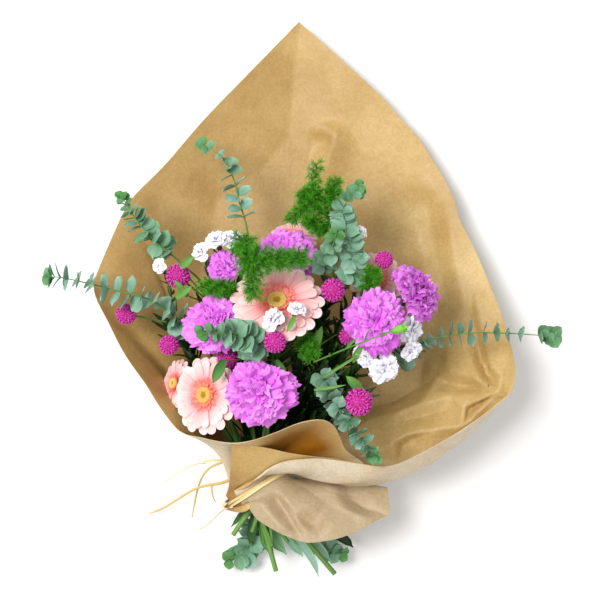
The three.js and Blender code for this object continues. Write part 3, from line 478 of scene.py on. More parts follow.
def paperColumn(rim, angle, radius, hem, bend):
    neckHalf = Vector((-wrap["slant"], 1, 0)).normalized() * wrap["neckLength"] / 2
    turn = math.radians(angle)
    out = Vector((math.cos(turn), 0, math.sin(turn)))
    tie = atNeck(angle, radius)
    middle = tie.lerp(rim, wrap["bellyAt"]) + Vector(bend)
    skirt = tie.lerp(hem, wrap["bellyAt"]) + out * wrap["skirtBulge"]
    lower = quadratic(hem, skirt, tie - neckHalf, wrap["hemRows"])
    upper = quadratic(tie + neckHalf, middle, rim, wrap["coneRows"])
    between = np.linspace(lower[-1], upper[0], wrap["neckRows"] + 2)[1:-1]
    column = np.concatenate([lower, between, upper])
    # How far each row is up the cone and down the skirt
    gap = np.concatenate([np.zeros(wrap["hemRows"] + wrap["neckRows"]),
                          np.linalg.norm(upper - upper[0], axis=1)])
    below = np.concatenate([np.linalg.norm(lower - lower[-1], axis=1),
                            np.zeros(wrap["neckRows"] + wrap["coneRows"])])
    middling = 0.6  # about the mean of a folded wave, so that pleats go in and out alike
    ripple = abs(math.sin(turn * wrap["pleats"] / 2)) - middling
    flare = abs(math.sin(turn * wrap["skirtPleats"] / 2 + 0.7)) - middling
    push = (ripple * wrap["pleatDepth"] * np.minimum(gap / wrap["pleatRise"], 1)
            * np.exp(-gap / wrap["pleatFade"])
            + flare * wrap["skirtDepth"] * np.minimum(below / wrap["skirtRise"], 1))
    return column + np.array(out)[None] * push[:, None]


def facetLift(x, y, crumple):
    # Heights of a sheet that is flat between its creases, at the places x, y
    spots, lines = [], []
    for crease in crumple["creases"] + [[(*place, 0) for place in crumple["edge"]]]:
        for k, place in enumerate(crease):
            if place not in spots:
                spots.append(place)
            if k:
                lines.append((spots.index(crease[k - 1]), spots.index(place)))
    made = delaunay_2d_cdt([Vector(place[:2]) for place in spots], lines, [], 0, 1e-3)
    corners, faces, sources = made[0], made[2], made[3]
    heights = [spots[source[0]][2] if source else 0 for source in sources]
    lift = np.zeros_like(x)
    for face in faces:
        (x1, y1), (x2, y2), (x3, y3) = (corners[k] for k in face)
        area = (y2 - y3) * (x1 - x3) + (x3 - x2) * (y1 - y3)
        if not area:
            continue
        # Weights of the facet's corners at each place
        first = ((y2 - y3) * (x - x3) + (x3 - x2) * (y - y3)) / area
        second = ((y3 - y1) * (x - x3) + (x1 - x3) * (y - y3)) / area
        inside = (first >= 0) & (second >= 0) & (first + second <= 1)
        height = (heights[face[0]] * first + heights[face[1]] * second
                  + heights[face[2]] * (1 - first - second))
        lift = np.where(inside, height, lift)
    return lift


def creased(grid, angles):
    # How far each point of the sheet stands above its smooth curve
    spread, half = spreadAt(grid[:, :, 2]), eye["across"] / 2
    x = half + (grid[:, :, 0] - shift.x) / spread
    y = half - (grid[:, :, 1] - shift.y) / spread
    ridge, valley = np.zeros_like(x), np.zeros_like(x)
    for x1, y1, x2, y2, width, height, first, last in wrap["folds"]:
        dx, dy = x2 - x1, y2 - y1
        t = np.clip(((x - x1) * dx + (y - y1) * dy) / (dx * dx + dy * dy), 0, 1)
        away = np.hypot(x - x1 - dx * t, y - y1 - dy * t)
        near = (angles >= first) & (angles <= last)
        tent = height * np.clip(1 - away / width, 0, 1) * near
        ridge, valley = np.maximum(ridge, tent), np.minimum(valley, tent)
    lift = ridge + valley
    inSkirt = np.arange(grid.shape[1])[None, :] < wrap["hemRows"]
    for crumple in crumples:
        first, last = crumple["angles"]
        near = (angles >= first) & (angles <= last) & (inSkirt == crumple["skirt"])
        lift += np.where(near, facetLift(x, y, crumple), 0) * crumple["height"]
    return lift


def normalsOf(grid):
    normal = np.cross(np.gradient(grid, axis=0), np.gradient(grid, axis=1))
    return normal / np.linalg.norm(normal, axis=2)[:, :, None]


def makeWrap():
    stations = []
    for i, (x, y, z, angle) in enumerate(wrap["flapEdge"]):
        tucked = max(0, (i - 3) / 2)  # the flap's last stations go into its fold
        radius = wrap["flapRadius"] - tucked * wrap["flapTuck"]
        hem = atNeck(angle, wrap["flapRadius"]) + Vector(wrap["flapHem"]) - Vector((0, 0, tucked))
        if i == 0:
            radius += wrap["flapStretch"]
            hem = above(*wrap["flapCorner"])
        stations.append([x, y, z, angle, radius, *hem, *wrap["flapBend"]])
    for x, y, z, angle in wrap["innerEdge"]:
        radius = ramp(wrap["layers"], angle)[0]
        inFront = angle < wrap["frontEndsAt"]
        hem = (atNeck(angle, radius) + Vector(wrap["frontHem"])) if inFront else (
            above(*ramp(wrap["hem"], angle)))
        stations.append([x, y, z, angle, radius, *hem, *ramp(wrap["bends"], angle)])
    spots = []
    for i in range(len(stations) - 1):
        step = ramp(wrap["steps"], stations[i][3])[0]
        steps = max(2, round(math.dist(stations[i][:3], stations[i + 1][:3]) / step))
        spots += [i + k / steps for k in range(steps)]
    spots.append(len(stations) - 1)
    rows = smoothThrough(stations, spots, wrap["corners"])
    grid = np.array([
        paperColumn(above(*row[:3]), row[3], row[4], Vector(row[5:8]), row[8:11])
        for row in rows])
    angles = rows[:, 3][:, None]
    # Swells and creases fade out towards the tie
    j = np.arange(grid.shape[1])
    firstCone = wrap["hemRows"] + wrap["neckRows"]
    fade = np.where(j < wrap["hemRows"], np.clip((wrap["hemRows"] - 2 - j) / 4, 0, 1),
                    np.clip((j - firstCone) / 12, 0, 1))
    swell = np.array([[sum(noise.noise(Vector(point) / size) * height
                           for size, height in wrap["swells"]) for point in row] for row in grid])
    grid += normalsOf(grid) * (swell * fade)[:, :, None]
    grid[:, :, 2] += creased(grid, angles) * fade
    half = wrap["thickness"] / 2
    grid[:, :, 2] = np.maximum(grid[:, :, 2], half)
    upper, lower = (grid + normalsOf(grid) * side for side in (half, -half))
    # Tints of both faces, by angle round the tie and by the way up from hem to edge
    up = np.linspace(0, 1, grid.shape[1])[None, :]
    # Painted shade: the inner face is darker golden low in the cone on its left side
    lowShade = np.interp(angles, [120, 165, 225, 270], [0, 0.26, 0.22, 0]) * np.interp(
        up, [0.3, 0.75], [1, 0.3])
    corner = np.interp(angles, [235, 268, 300], [0.02, 0.08, 0.02]) * np.interp(
        up, [0.5, 0.8], [0, 1])
    inner = kraftTints["golden"] - lowShade - corner
    # Painted shade with painted bounce light: the front layer's outer face is deep golden brown,
    # paling near its rim
    humpShade = np.interp(angles, [40, 55, 108, 135], [0.4, 0.0, 0.05, kraftTints["pale"]])
    isHump = angles < 135
    isFlap = (np.array(spots) <= len(wrap["flapEdge"]) - 1)[:, None]
    outer = np.where(isHump, humpShade + np.interp(up, [0.85, 1], [0, 0.2]), kraftTints["pale"])
    # Painted shade: the skirt's outer face is a darker, greyer beige
    outer = np.where(up < 0.2, kraftTints["skirtShade"], outer)
    outer = np.where(isFlap, kraftTints["pale"] + 0 * up, outer)
    piece = Piece()
    piece.patch(upper, 0, inner)
    piece.patch(lower, 0, outer, back=True)
    for edge in (0, -1):
        piece.patch(np.stack([upper[:, edge], lower[:, edge]], 1))
        piece.patch(np.stack([upper[edge], lower[edge]], 1))
    piece.build("wrapPaper", ["wrap"], [kraft])


makeWrap()
print("paper wrap made")

# Gerberas: two rings of broad rays, two of short inner rays, and a disc of florets
gerberas = {
    "flowers": [
        ("centre", (-23, -3, 146), (0, 0.57, 0.82), 47),
        ("left", (-93, -95, 122), (-0.5, 0.1, 0.82), 40),
        ("low_left", (-122, -84, 86), (-0.8, 0.2, 0.6), 26),
        ("back", (-7, 61, 66), (0, 0.75, 0.66), 26),
        ("right", (75, 21, 92), (0.2, 0.4, 0.89), 31)],
    # Each ring of broad rays: share of the full length and width, pitch and height
    "rays": 19, "width": 0.29, "rings": [(1.0, 1.0, 1, 0.6), (0.86, 0.88, 7, 2.2)],
    # Each ring of short rays: how many, length, start on the disc, least pitch and height
    "innerWidth": 0.068, "innerRings": [(34, 0.27, 0.95, 12, 2.6), (30, 0.19, 0.85, 26, 3.2)],
    "disc": 0.2,  # of the flower's radius
    "florets": 150, "greenMiddle": 0.42,  # of the disc's radius
    "depth": 4.2,  # of the cup behind the rays
}
rayOutline = [np.interp(v, [0, 0.3, 0.6, 1], [0.42, 0.8, 1, 1])
              * math.sqrt(1 - 0.98 * max(0, (v - 0.84) / 0.16) ** 2) for v in np.linspace(0, 1, 81)]


def blade(length, half, outline, rows, columns, rise, cup=0.0, rounded=0.15):
    # A flat blade along +X: outline gives its half-width and rise its height along it. Its
    # rows stand closer towards the tip.
    v = 1 - (1 - np.linspace(0, 1, rows)[:, None]) ** 1.5
    s = np.linspace(-1, 1, columns)[None, :]
    width = np.interp(v, np.linspace(0, 1, len(outline)), outline) * half
    x = length * v * (1 - rounded * s * s * v * v)
    z = np.interp(v, np.linspace(0, 1, len(rise)), rise) + cup * half * s * s
    return np.stack([x + 0 * s, width * s, z + 0 * s], -1)


def turnedUp(grid, pitch, yaw, start=(0, 0, 0)):
    matrix = Matrix.Rotation(yaw, 4, "Z") @ Matrix.Translation(start) @ Matrix.Rotation(
        -pitch, 4, "Y")
    return placed(grid, matrix)


def makeGerbera(name, at, face, size, seed):
    draw = random.Random(seed)
    matrix = facing(above(*at), face, seed)
    disc = gerberas["disc"] * size
    under = disc * 0.8  # the broad rays begin under the edge of the disc
    rays = Piece()
    columns = 7
    grooves = np.cos(np.linspace(-2, 2, columns) * math.pi) * 0.35  # two run along each ray
    for ring, (long, wide, lift, height) in enumerate(gerberas["rings"]):
        for i in range(gerberas["rays"]):
            length = size * long * draw.uniform(0.95, 1.02) - under
            ray = blade(length, size * wide * gerberas["width"] / 2, rayOutline, 15, columns,
                        (0, 1.4, 2.0, 1.4, -0.2), -0.12, 0.0)
            ray[:, :, 2] += grooves
            pitch = math.radians(draw.uniform(-3, 4) + lift)
            yaw = (i + ring / 2) * 2 * math.pi / gerberas["rays"] + draw.uniform(-0.05, 0.05)
            ray = turnedUp(ray, pitch, yaw, (under, 0, height))
            rays.patch(placed(ray, matrix), 0, draw.uniform(0, 0.45))
    for count, long, start, lift, height in gerberas["innerRings"]:
        for i in range(count):
            length = size * long * draw.uniform(0.8, 1.1)
            ray = blade(length, size * gerberas["innerWidth"] / 2, (0.7, 1, 1, 0.7), 5, 3,
                        (0, 0.8, 1, 0.6), 0.3)
            yaw = (i + draw.uniform(-0.3, 0.3)) * 2 * math.pi / count
            pitch = math.radians(lift + draw.uniform(0, 12))
            ray = turnedUp(ray, pitch, yaw, (disc * start, 0, height))
            rays.patch(placed(ray, matrix), 1, draw.uniform(0, 0.6))
    # The green cup that bears the rays
    cup = turned([(0.3, -gerberas["depth"]), (disc * 0.6, -3.6), (disc * 1.05, -0.5),
                  (disc, 1.5)], 16)
    rays.patch(placed(cup, matrix), 2, 0.3, closed=True)
    rays.build("gerberaRays_" + name, ["gerbera_" + name],
               [gerberaRay, gerberaInnerRay, greenLeaf])
    florets = Piece()
    for i in range(gerberas["florets"]):
        share = math.sqrt((i + 0.5) / gerberas["florets"])
        radius = disc * 0.98 * share
        height = 4.0 + 2.2 * math.sin(share * 2.2)
        wide = disc * 0.085 * (0.75 + 0.4 * share)
        tall = 1.0 + 1.5 * share
        points = [(radius * math.cos(i * golden), radius * math.sin(i * golden), z)
                  for z in (height - 2.5, height + tall * 0.6, height + tall)]
        bud = tube(points, (wide, wide * 1.05, wide * 0.3), 5)
        tint = 1.0 if share < gerberas["greenMiddle"] else draw.uniform(0, 0.25)
        florets.patch(placed(bud, matrix), 0, tint, closed=True)
    plate = turned([(0.1, 3.9), (disc * 0.9, 4.2), (disc, 2.0)], 16)
    florets.patch(placed(plate, matrix), 0, 0.3, closed=True)
    florets.build("gerberaDisc_" + name, ["gerbera_" + name + "_eye"],
                  [gerberaDisc])


for number, (name, at, face, size) in enumerate(gerberas["flowers"]):
    makeGerbera(name, at, face, size, number)
print("gerberas made")

# Carnations, large and spray: petals in a spiral from the flat outer ones to the upright middle
carnations = {
    "flowers": [
        ("front", (-41, -93, 148), (-0.05, -0.3, 0.95), 35),
        ("right_centre", (76, -22, 152), (0.1, 0.05, 0.99), 30.5),
        ("left", (-88, -25, 138), (-0.4, 0.05, 0.9), 30),
        ("top", (-14, 44, 104), (0, 0.4, 0.92), 31),
        ("right", (116, 8, 128), (0.78, 0.5, 0.38), 31),
        ("small", (-76, 34, 134), (-0.2, 0.5, 0.84), 18)],
    "petals": 58, "rows": 10, "columns": 23, "ruffle": 0.1, "waves": (5.5, 8), "wide": 0.6,
}
sprays = {
    "flowers": [
        ("1", (-84, 60, 136), (-0.3, 0.6, 0.74), 13), ("2", (-68, 62, 132), (0, 0.75, 0.66), 12),
        ("3", (-100, 48, 132), (-0.5, 0.4, 0.76), 11), ("4", (60, 68, 124), (0.4, 0.6, 0.7), 9),
        ("5", (-141, 34, 126), (-0.5, 0.2, 0.84), 8.5),
        ("6", (-28, -19, 177), (-0.5, 0.5, 0.7), 12.5),
        ("7", (-3, -9, 172), (0.3, 0.6, 0.74), 10),
        ("8", (65, -56, 136), (-0.2, -0.4, 0.9), 13), ("9", (84, -69, 138), (0.15, -0.4, 0.9), 17),
        ("10", (112, -29, 136), (0.75, -0.2, 0.63), 15),
        ("11", (111, -51, 132), (0.4, -0.35, 0.85), 12)],
    "petals": 22, "rows": 7, "columns": 13, "ruffle": 0.06, "waves": (4, 6), "wide": 0.5,
}
# What both kinds share: tilts in degrees, the rest as shares of the bloom's radius
petalForm = {
    "outerTilt": 98, "innerTilt": 8, "unevenTilt": 9,
    "root": (0.04, -0.45), "rise": (0.12, 0.0), "dome": (0.7, -0.16),
    "reach": (0.84, 1.06), "shoulder": (0.7, 0.84),
    "narrowing": 0.24, "rounding": 0.24, "teeth": 0.025, "unevenTeeth": 0.03,
    "calyx": [(0.1, -1.25), (0.12, -1.2), (0.17, -0.8), (0.2, -0.45), (0.24, -0.28)],
    "calyxFlute": 0.12, "calyxTeeth": 0.08,
    "depth": 1.2,  # from the bloom's middle to the end of its calyx
}


def makeCarnation(name, at, face, size, look, skin, nodes, seed):
    draw = random.Random(seed + 200)
    matrix = facing(above(*at), face, seed)
    bloom = Piece()
    form = petalForm
    columns, count = look["columns"], look["petals"]
    v = np.linspace(0, 1, look["rows"])[:, None]
    s = np.linspace(-1, 1, columns)[None, :]
    root, rise = (np.array(form[key]) * size for key in ("root", "rise"))

    def onDome(tilt):
        tall, lift = form["dome"]
        return np.array([math.sin(tilt), tall * math.cos(tilt) + lift]) * size

    lobes = [(2, draw.uniform(0, 6.28), 0.07), (3, draw.uniform(0, 6.28), 0.07)]
    for i in range(count):
        yaw = i * golden + draw.uniform(-0.2, 0.2)
        uneven = 1 + sum(share * math.sin(times * yaw + start) for times, start, share in lobes)
        inward = (i / (count - 1)) ** 0.9
        tilt = math.radians(form["outerTilt"] - (form["outerTilt"] - form["innerTilt"]) * inward
                            + draw.uniform(-form["unevenTilt"], form["unevenTilt"]))
        # The petal's middle line rises from its root to a shoulder and bends out to the tip
        tip = onDome(tilt + 0.08) * draw.uniform(*form["reach"]) * uneven
        shoulder = onDome(max(tilt - 0.5, -0.25)) * draw.uniform(*form["shoulder"])
        path = (root * (1 - v) ** 3 + rise * 3 * v * (1 - v) ** 2 + shoulder * 3 * v * v * (1 - v)
                + tip * v ** 3)
        slope = np.gradient(path, axis=0)
        slope /= np.linalg.norm(slope, axis=1)[:, None]
        normal = np.stack([-slope[:, 1], slope[:, 0]], -1)
        half = size * (look["wide"] - form["narrowing"] * inward) * np.interp(
            v, [0, 0.3, 0.6, 0.85, 1], [0.1, 0.2, 0.6, 1, 0.94])
        phase = draw.uniform(0, 6.28)
        waves = draw.uniform(*look["waves"])
        ruffle = size * look["ruffle"] * (
            v ** 2 * np.sin(s * waves + phase)
            + 0.45 * v ** 4 * np.sin(s * waves * 2.1 + phase * 2))
        teeth = np.array([draw.uniform(-form["unevenTeeth"], form["unevenTeeth"])
                          + (form["teeth"] if k % 2 else -form["teeth"])
                          for k in range(columns)])[None, :] * size * v ** 6
        edge = teeth - form["rounding"] * size * s * s * v * v
        radial, height = (path[:, k:k + 1] + normal[:, k:k + 1] * ruffle
                          + slope[:, k:k + 1] * edge for k in (0, 1))
        grid = np.stack([radial, half * s, height], -1)
        turn = Matrix.Rotation(yaw, 4, "Z")
        bloom.patch(placed(grid, matrix @ turn), 0, draw.uniform(0, 0.8))
    # The green tube of the calyx under the petals, with its five teeth
    calyx = turned(np.array(form["calyx"]) * size, 20, form["calyxFlute"],
                   form["calyxTeeth"] * size)
    bloom.patch(placed(calyx, matrix), 1, 0.4, closed=True)
    bloom.build(nodes + "Bloom_" + name, [nodes + "_" + name], [skin, greenLeaf])


for number, (name, at, face, size) in enumerate(carnations["flowers"]):
    makeCarnation(name, at, face, size, carnations, orchidPetal,
                  "carnation", number)
for number, (name, at, face, size) in enumerate(sprays["flowers"]):
    makeCarnation(name, at, face, size, sprays, whitePetal, "white", number + 20)
print("carnations made")

# Globe amaranths: a ball of pointed papery bracts, with sizes as shares of its radius
globes = {
    "heads": [
        (-122, 24, 122, 12), (-174, -14, 92, 10.5), (-131, -45, 112, 10), (-25, -42, 178, 10.5),
        (-73, -60, 122, 11), (33, 10, 149, 11.5), (59, -102, 150, 13.5), (48, -36, 124, 9),
        (84, 40, 130, 9)],
    "bracts": 420, "length": 0.3, "half": 0.085, "seat": 0.8, "core": 0.84,
    "opening": (38, 62),  # degrees that a bract leans over from upright
}


def makeGlobe(number, x, y, z, radius):
    draw = random.Random(number + 400)
    centre = above(x, y, z)
    head = Piece()
    count = globes["bracts"]
    for i in range(count):
        height = 1 - 2 * (i + 0.5) / count
        flat = math.sqrt(1 - height * height)
        out = Vector((flat * math.cos(i * golden), flat * math.sin(i * golden), height))
        length = radius * globes["length"] * draw.uniform(0.85, 1.15)
        bract = blade(length, radius * globes["half"], (0.9, 1, 0.15), 3, 3, (0, 0.4, 0.2),
                      -0.5, 0.0)
        matrix = facing(centre + out * radius * globes["seat"], out, i * 1.7)
        bract = turnedUp(bract, math.radians(draw.uniform(*globes["opening"])), 0)
        head.patch(placed(bract, matrix), 0, draw.uniform(0, 0.5))
    tilt = np.linspace(0.05, math.pi - 0.05, 9)
    core = np.stack([np.sin(tilt), np.cos(tilt)], -1) * radius * globes["core"]
    head.patch(turned(core, 14) + np.array(centre), 0, 0.9, closed=True)
    head.build("globeHead_%d" % number, ["gomphrena_%d" % number],
               [magentaBract])


for number, head in enumerate(globes["heads"]):
    makeGlobe(number + 1, *head)
print("globe amaranths made")

# Eucalyptus: round leaves in pairs, each pair turned by twist from the last. open says how far
# a branch's leaves are turned to look up, young how fresh a green they are, tip how many young
# leaves stand round its end and tipSize how large they are.
eucalyptus = {
    "left": {"pairs": 15, "leaf": 20, "shy": 0.12, "open": 0.3, "twist": 0.5, "tip": 4,
             "tipSize": 0.5, "young": 0.0, "route": [
        (-92, -42, 86), (-118, -22, 100), (-150, 0, 116), (-193, 12, 114), (-236, 22, 108),
        (-250, 23, 106)]},
    "upper_left": {"pairs": 14, "leaf": 17, "shy": 0.24, "open": 0.5, "twist": 1.3, "tip": 4,
                   "tipSize": 0.5, "young": 0.3, "route": [
        (-102, 22, 92), (-128, 45, 108), (-148, 62, 110), (-165, 82, 104), (-178, 103, 94)]},
    "top": {"pairs": 8, "leaf": 17, "shy": 0.2, "open": 0.45, "twist": 0.25, "tip": 5,
            "tipSize": 0.5, "young": 0.0, "route": [
        (-50, 50, 96), (-54, 76, 106), (-61, 99, 104), (-66, 120, 97), (-76, 141, 86),
        (-98, 156, 72)]},
    "right_back": {"pairs": 22, "leaf": 16, "shy": 0.1, "open": 0.65, "twist": 1.1, "tip": 6,
                   "tipSize": 0.55, "young": 0.1, "route": [
        (48, 12, 128), (52, 32, 142), (51, 50, 144), (45, 72, 140), (42, 90, 130),
        (60, 113, 112)]},
    "rosette": {"pairs": 9, "leaf": 14, "shy": 0.2, "open": 0.6, "twist": 1.3, "tip": 7,
                "tipSize": 0.6, "young": 0.3, "route": [
        (22, 26, 118), (24, 36, 136), (31, 50, 150), (36, 66, 158)]},
    "right": {"pairs": 15, "leaf": 15, "shy": 0.1, "open": 0.25, "twist": 0.35, "tip": 11,
              "tipSize": 0.85, "young": 0.0, "route": [
        (88, -66, 98), (104, -58, 106), (125, -42, 112), (160, -34, 117), (200, -33, 118),
        (251, -36, 112)]},
    "middle": {"pairs": 18, "leaf": 18.5, "shy": 0.1, "open": 0.5, "twist": 1.3, "tip": 7,
               "tipSize": 0.5, "young": 0.2, "route": [
        (-46, -46, 128), (-46, -46, 152), (-52, -39, 170), (-66, -33, 176), (-98, -33, 182)]},
    "front": {"pairs": 22, "leaf": 13.5, "shy": 0.05, "open": 0.5, "twist": 1.3, "tip": 6,
              "tipSize": 0.65, "young": 0.1, "route": [
        (22, -72, 112), (27, -86, 130), (36, -106, 140), (50, -126, 142), (64, -142, 136),
        (74, -158, 128)]},
    "low_left": {"pairs": 12, "leaf": 19, "shy": 0.05, "open": 0.7, "twist": 1.3, "tip": 2,
                 "tipSize": 0.6, "young": 0.25, "route": [
        (-46, -216, 22), (-44, -234, 19), (-51, -250, 18), (-70, -259, 20)]},
    "low_right": {"pairs": 12, "leaf": 16, "shy": 0.1, "open": 0.6, "twist": 1.3, "tip": 3,
                  "tipSize": 0.6, "young": 0.1, "route": [
        (-10, -216, 20), (6, -235, 19), (24, -247, 19), (42, -255, 20)]},
}
roundLeaf = (0.2, 0.72, 0.95, 1, 0.9, 0.66, 0.16)
broadness = 0.54  # half-width of a leaf over its length
lastPair = 0.97  # of the way to the tip


def makeBranch(name, look, seed):
    draw = random.Random(seed + 500)
    points = route(look["route"], 40)
    branch = Piece()
    branch.patch(tube(points, np.linspace(1.0, 0.45, len(points)), 6), 1, 0.3, closed=True)
    spots = [(look["shy"] + (lastPair - look["shy"]) * (i + 0.5) / look["pairs"],
              i * look["twist"]) for i in range(look["pairs"]) for _ in range(2)]
    spots += [(1.0 - 0.025 * (i % 3), i * golden) for i in range(look["tip"])]
    for i, (along, turn) in enumerate(spots):
        spot, ahead, across, up = frameAt(points, round(along * (len(points) - 1)))
        atTip = i >= look["pairs"] * 2
        size = look["leaf"] * np.interp(along, [0, 0.7, 1], [1, 0.95, look["tipSize"]])
        turn += math.pi * (i % 2) * (not atTip) + draw.uniform(-0.25, 0.25) * (1 + look["open"])
        out = across * math.cos(turn) + up * math.sin(turn)
        lean = draw.uniform(0.5, 1.0) if atTip else draw.uniform(0.1, 0.4) + 0.3 * along ** 3
        reach = (out * math.cos(lean) + ahead * math.sin(lean)).normalized()
        normal = (ahead * math.cos(lean) - out * math.sin(lean)).normalized()
        opened = 0.8 if atTip else look["open"] * draw.uniform(0.7, 1.2)
        normal = (normal * (1 - opened) + Vector((0, 0, opened))).normalized()
        reach = (reach - normal * reach.dot(normal)).normalized()
        tilt = 0.25 + 0.5 * look["open"]
        matrix = (axes(reach, normal.cross(reach), normal, spot + reach * 0.8)
                  @ Matrix.Rotation(draw.uniform(-tilt, tilt), 4, "X")
                  @ Matrix.Rotation(draw.uniform(-0.9, 0.9) * look["open"], 4, "Z")
                  @ Matrix.Rotation(draw.uniform(-0.5, 0.3) * look["open"], 4, "Y"))
        leaf = blade(size * draw.uniform(0.8, 1.1), size * broadness, roundLeaf, 9, 7,
                     (0, 0.3, -0.2, -1.0), 0.14, 0.06)
        young = look["young"] + draw.uniform(0, 0.3) + (
            0.6 if atTip else max(0.0, (along - 0.8) * 3))
        branch.patch(placed(leaf, matrix), 0, min(1.0, young))
    branch.build("eucalyptusBranch_" + name, ["eucalyptus_" + name],
                 [greyLeaf, greenStem])


for number, (name, look) in enumerate(eucalyptus.items()):
    makeBranch(name, look, number)
print("eucalyptus made")

# Asparagus fern: soft plumes of needles in whorls on short side shoots. A plume is how many
# shoots a stem has, how far they reach, and its stems.
ferns = {
    "plumes": {
        "top": (44, 13, [
            [(30, 66, 108), (28, 88, 118), (14, 110, 118), (17, 136, 108)],
            [(29, 84, 116), (14, 94, 124), (2, 92, 122), (-9, 80, 114)],
            [(20, 102, 119), (12, 106, 126), (2, 102, 124)],
            [(22, 96, 119), (32, 104, 124), (34, 118, 118)],
            [(30, 68, 110), (18, 74, 120), (6, 80, 122)]]),
        "middle": (70, 17, [
            [(-58, 62, 142), (-56, 52, 166), (-49, 30, 182), (-47, 5, 184)],
            [(-54, 40, 170), (-36, 40, 182), (-14, 41, 186), (3, 42, 182)]]),
        "left": (46, 12, [[(-62, 8, 132), (-74, 12, 142), (-86, 12, 148), (-98, 14, 142)]]),
        "inner": (44, 15, [[(6, -36, 118), (8, -44, 134), (10, -54, 146)]]),
        "right": (44, 15, [[(62, 10, 125), (68, 18, 135), (73, 28, 143)]]),
    },
    "needle": 6.4, "needleWidth": 0.55,
    "whorl": 1.5, "inWhorl": 5, "opening": (25, 62),
}


def makeFern(name, shoots, reach, stems, seed):
    draw = random.Random(seed + 600)
    plume = Piece()
    for stem in stems:
        points = route(stem, 40)
        plume.patch(tube(points, np.linspace(1.0, 0.4, len(points)), 5), 1, 0.2, closed=True)
        for i in range(shoots):
            along = 0.08 + 0.92 * (i + 0.5) / shoots
            spot, ahead, across, up = frameAt(points, round(along * (len(points) - 1)))
            out = across * math.cos(i * golden) + up * math.sin(i * golden)
            heading = (out + ahead * draw.uniform(0.35, 1.0)).normalized()
            length = reach * (1 - 0.45 * along) * draw.uniform(0.75, 1.1)
            shoot = facing(spot, heading, i)
            for w in range(max(2, round(length / ferns["whorl"]))):
                for n in range(ferns["inWhorl"]):
                    size = ferns["needle"] * draw.uniform(0.75, 1.15)
                    needle = blade(size, ferns["needleWidth"] / 2, (1, 1, 0.2), 3, 3,
                                   (0, 0.2, 0), 0.9, 0.0)
                    yaw = n * 2 * math.pi / ferns["inWhorl"] + w * 0.8 + draw.uniform(-0.3, 0.3)
                    pitch = math.radians(draw.uniform(*ferns["opening"]))
                    needle = turnedUp(needle, pitch, yaw)
                    needle[:, :, 2] += (w + 0.4) * ferns["whorl"]
                    plume.patch(placed(needle, shoot), 0, draw.uniform(0, 0.9))
    plume.build("fernPlume_" + name, ["fern_" + name], [fernNeedle, greenStem])


for number, (name, (shoots, reach, stems)) in enumerate(ferns["plumes"].items()):
    makeFern(name, shoots, reach, stems, number)
print("ferns made")

# Stems: bundled in the tie, spread above it, with narrow leaves at their nodes
stalks = {
    "ends": [
        (-67, -235, 42), (-24, -271, 44), (35, -274, 48), (-36, -242, 40), (0, -244, 40),
        (16, -240, 54), (-28, -246, 54), (6, -238, 60), (-48, -232, 52), (-12, -242, 36)],
    "bunchRadius": 9.9, "approach": 18,
    "radii": {"gerbera": 2.6, "carnation": 2.1, "fork": 1.9, "spray": 1.0, "globe": 0.9,
              "eucalyptus": 1.2, "fern": 1.0, "sprig": 0.7, "cutEnd": (1.3, 1.9)},
    "sag": 8, "twigSag": 5,
    "forks": [
        (-86, -6, 84), (-24, -60, 100), (66, -56, 92), (34, 20, 90), (20, -84, 96),
        (46, -96, 88), (-4, -70, 84), (44, -30, 96), (60, -2, 90), (-124, -24, 80)],
    "leaf": 36, "leafHalf": 4.0, "sprayLeaf": 16, "sprayLeafHalf": 2.2,
    # Leaves below the tie: end, bend at, half-width, finish and shade
    "lowLeaves": [
        ((-69, -227, 28), (-60, -216, 32), 3.0, 1, 0.5),
        ((53, -247, 28), (37, -234, 34), 5.5, 1, 0.95),
        ((19, -277, 34), (8, -252, 44), 4.2, 2, 0.1),
        ((-13, -254, 30), (-26, -236, 36), 7.5, 2, 0.7),
        ((3, -256, 30), (-9, -238, 36), 7.0, 2, 0.45),
        ((-31, -252, 30), (-34, -236, 36), 7.0, 2, 0.9),
        ((30, -260, 24), (16, -244, 32), 5.0, 2, 0.2),
        ((-50, -244, 26), (-48, -230, 32), 5.0, 1, 0.7)],
    # Leaves that show between the flowers: base, end, half-width, finish and shade
    "sprigs": [
        ((14, -90, 138), (46, -85, 148), 1.6, 0, 0.0),
        ((62, -90, 140), (46, -76, 146), 5.0, 0, 0.2),
        ((22, -78, 128), (60, -54, 140), 1.5, 0, 0.0),
        ((15, -48, 134), (22, -26, 142), 4.0, 0, 0.3),
        ((52, -62, 134), (62, -44, 142), 3.5, 0, 0.0),
        ((-76, -60, 147), (-87, -83, 153), 5.5, 1, 0.0),
        ((-5, -16, 174), (-13, -32, 179), 2.8, 0, 0.0),
        ((-24, -60, 144), (-12, -80, 150), 4.0, 1, 0.1),
        ((-124, 2, 128), (-108, 14, 136), 4.0, 0, 0.1),
        ((-112, 4, 128), (-126, 20, 136), 3.5, 0, 0.2),
        ((-120, 32, 128), (-106, 44, 134), 4.0, 0, 0.1)],
}
narrowLeaf = (0.5, 0.8, 1, 0.95, 0.7, 0.08)
lowLeafOutline = (0.3, 0.4, 0.5, 0.8, 1, 0.95, 0.7, 0.1)


def backOf(at, face, depth):
    return above(*at) - Vector(face).normalized() * depth


def sagging(start, end, drop):
    return start.lerp(end, 0.5) - Vector((0, 0, drop))


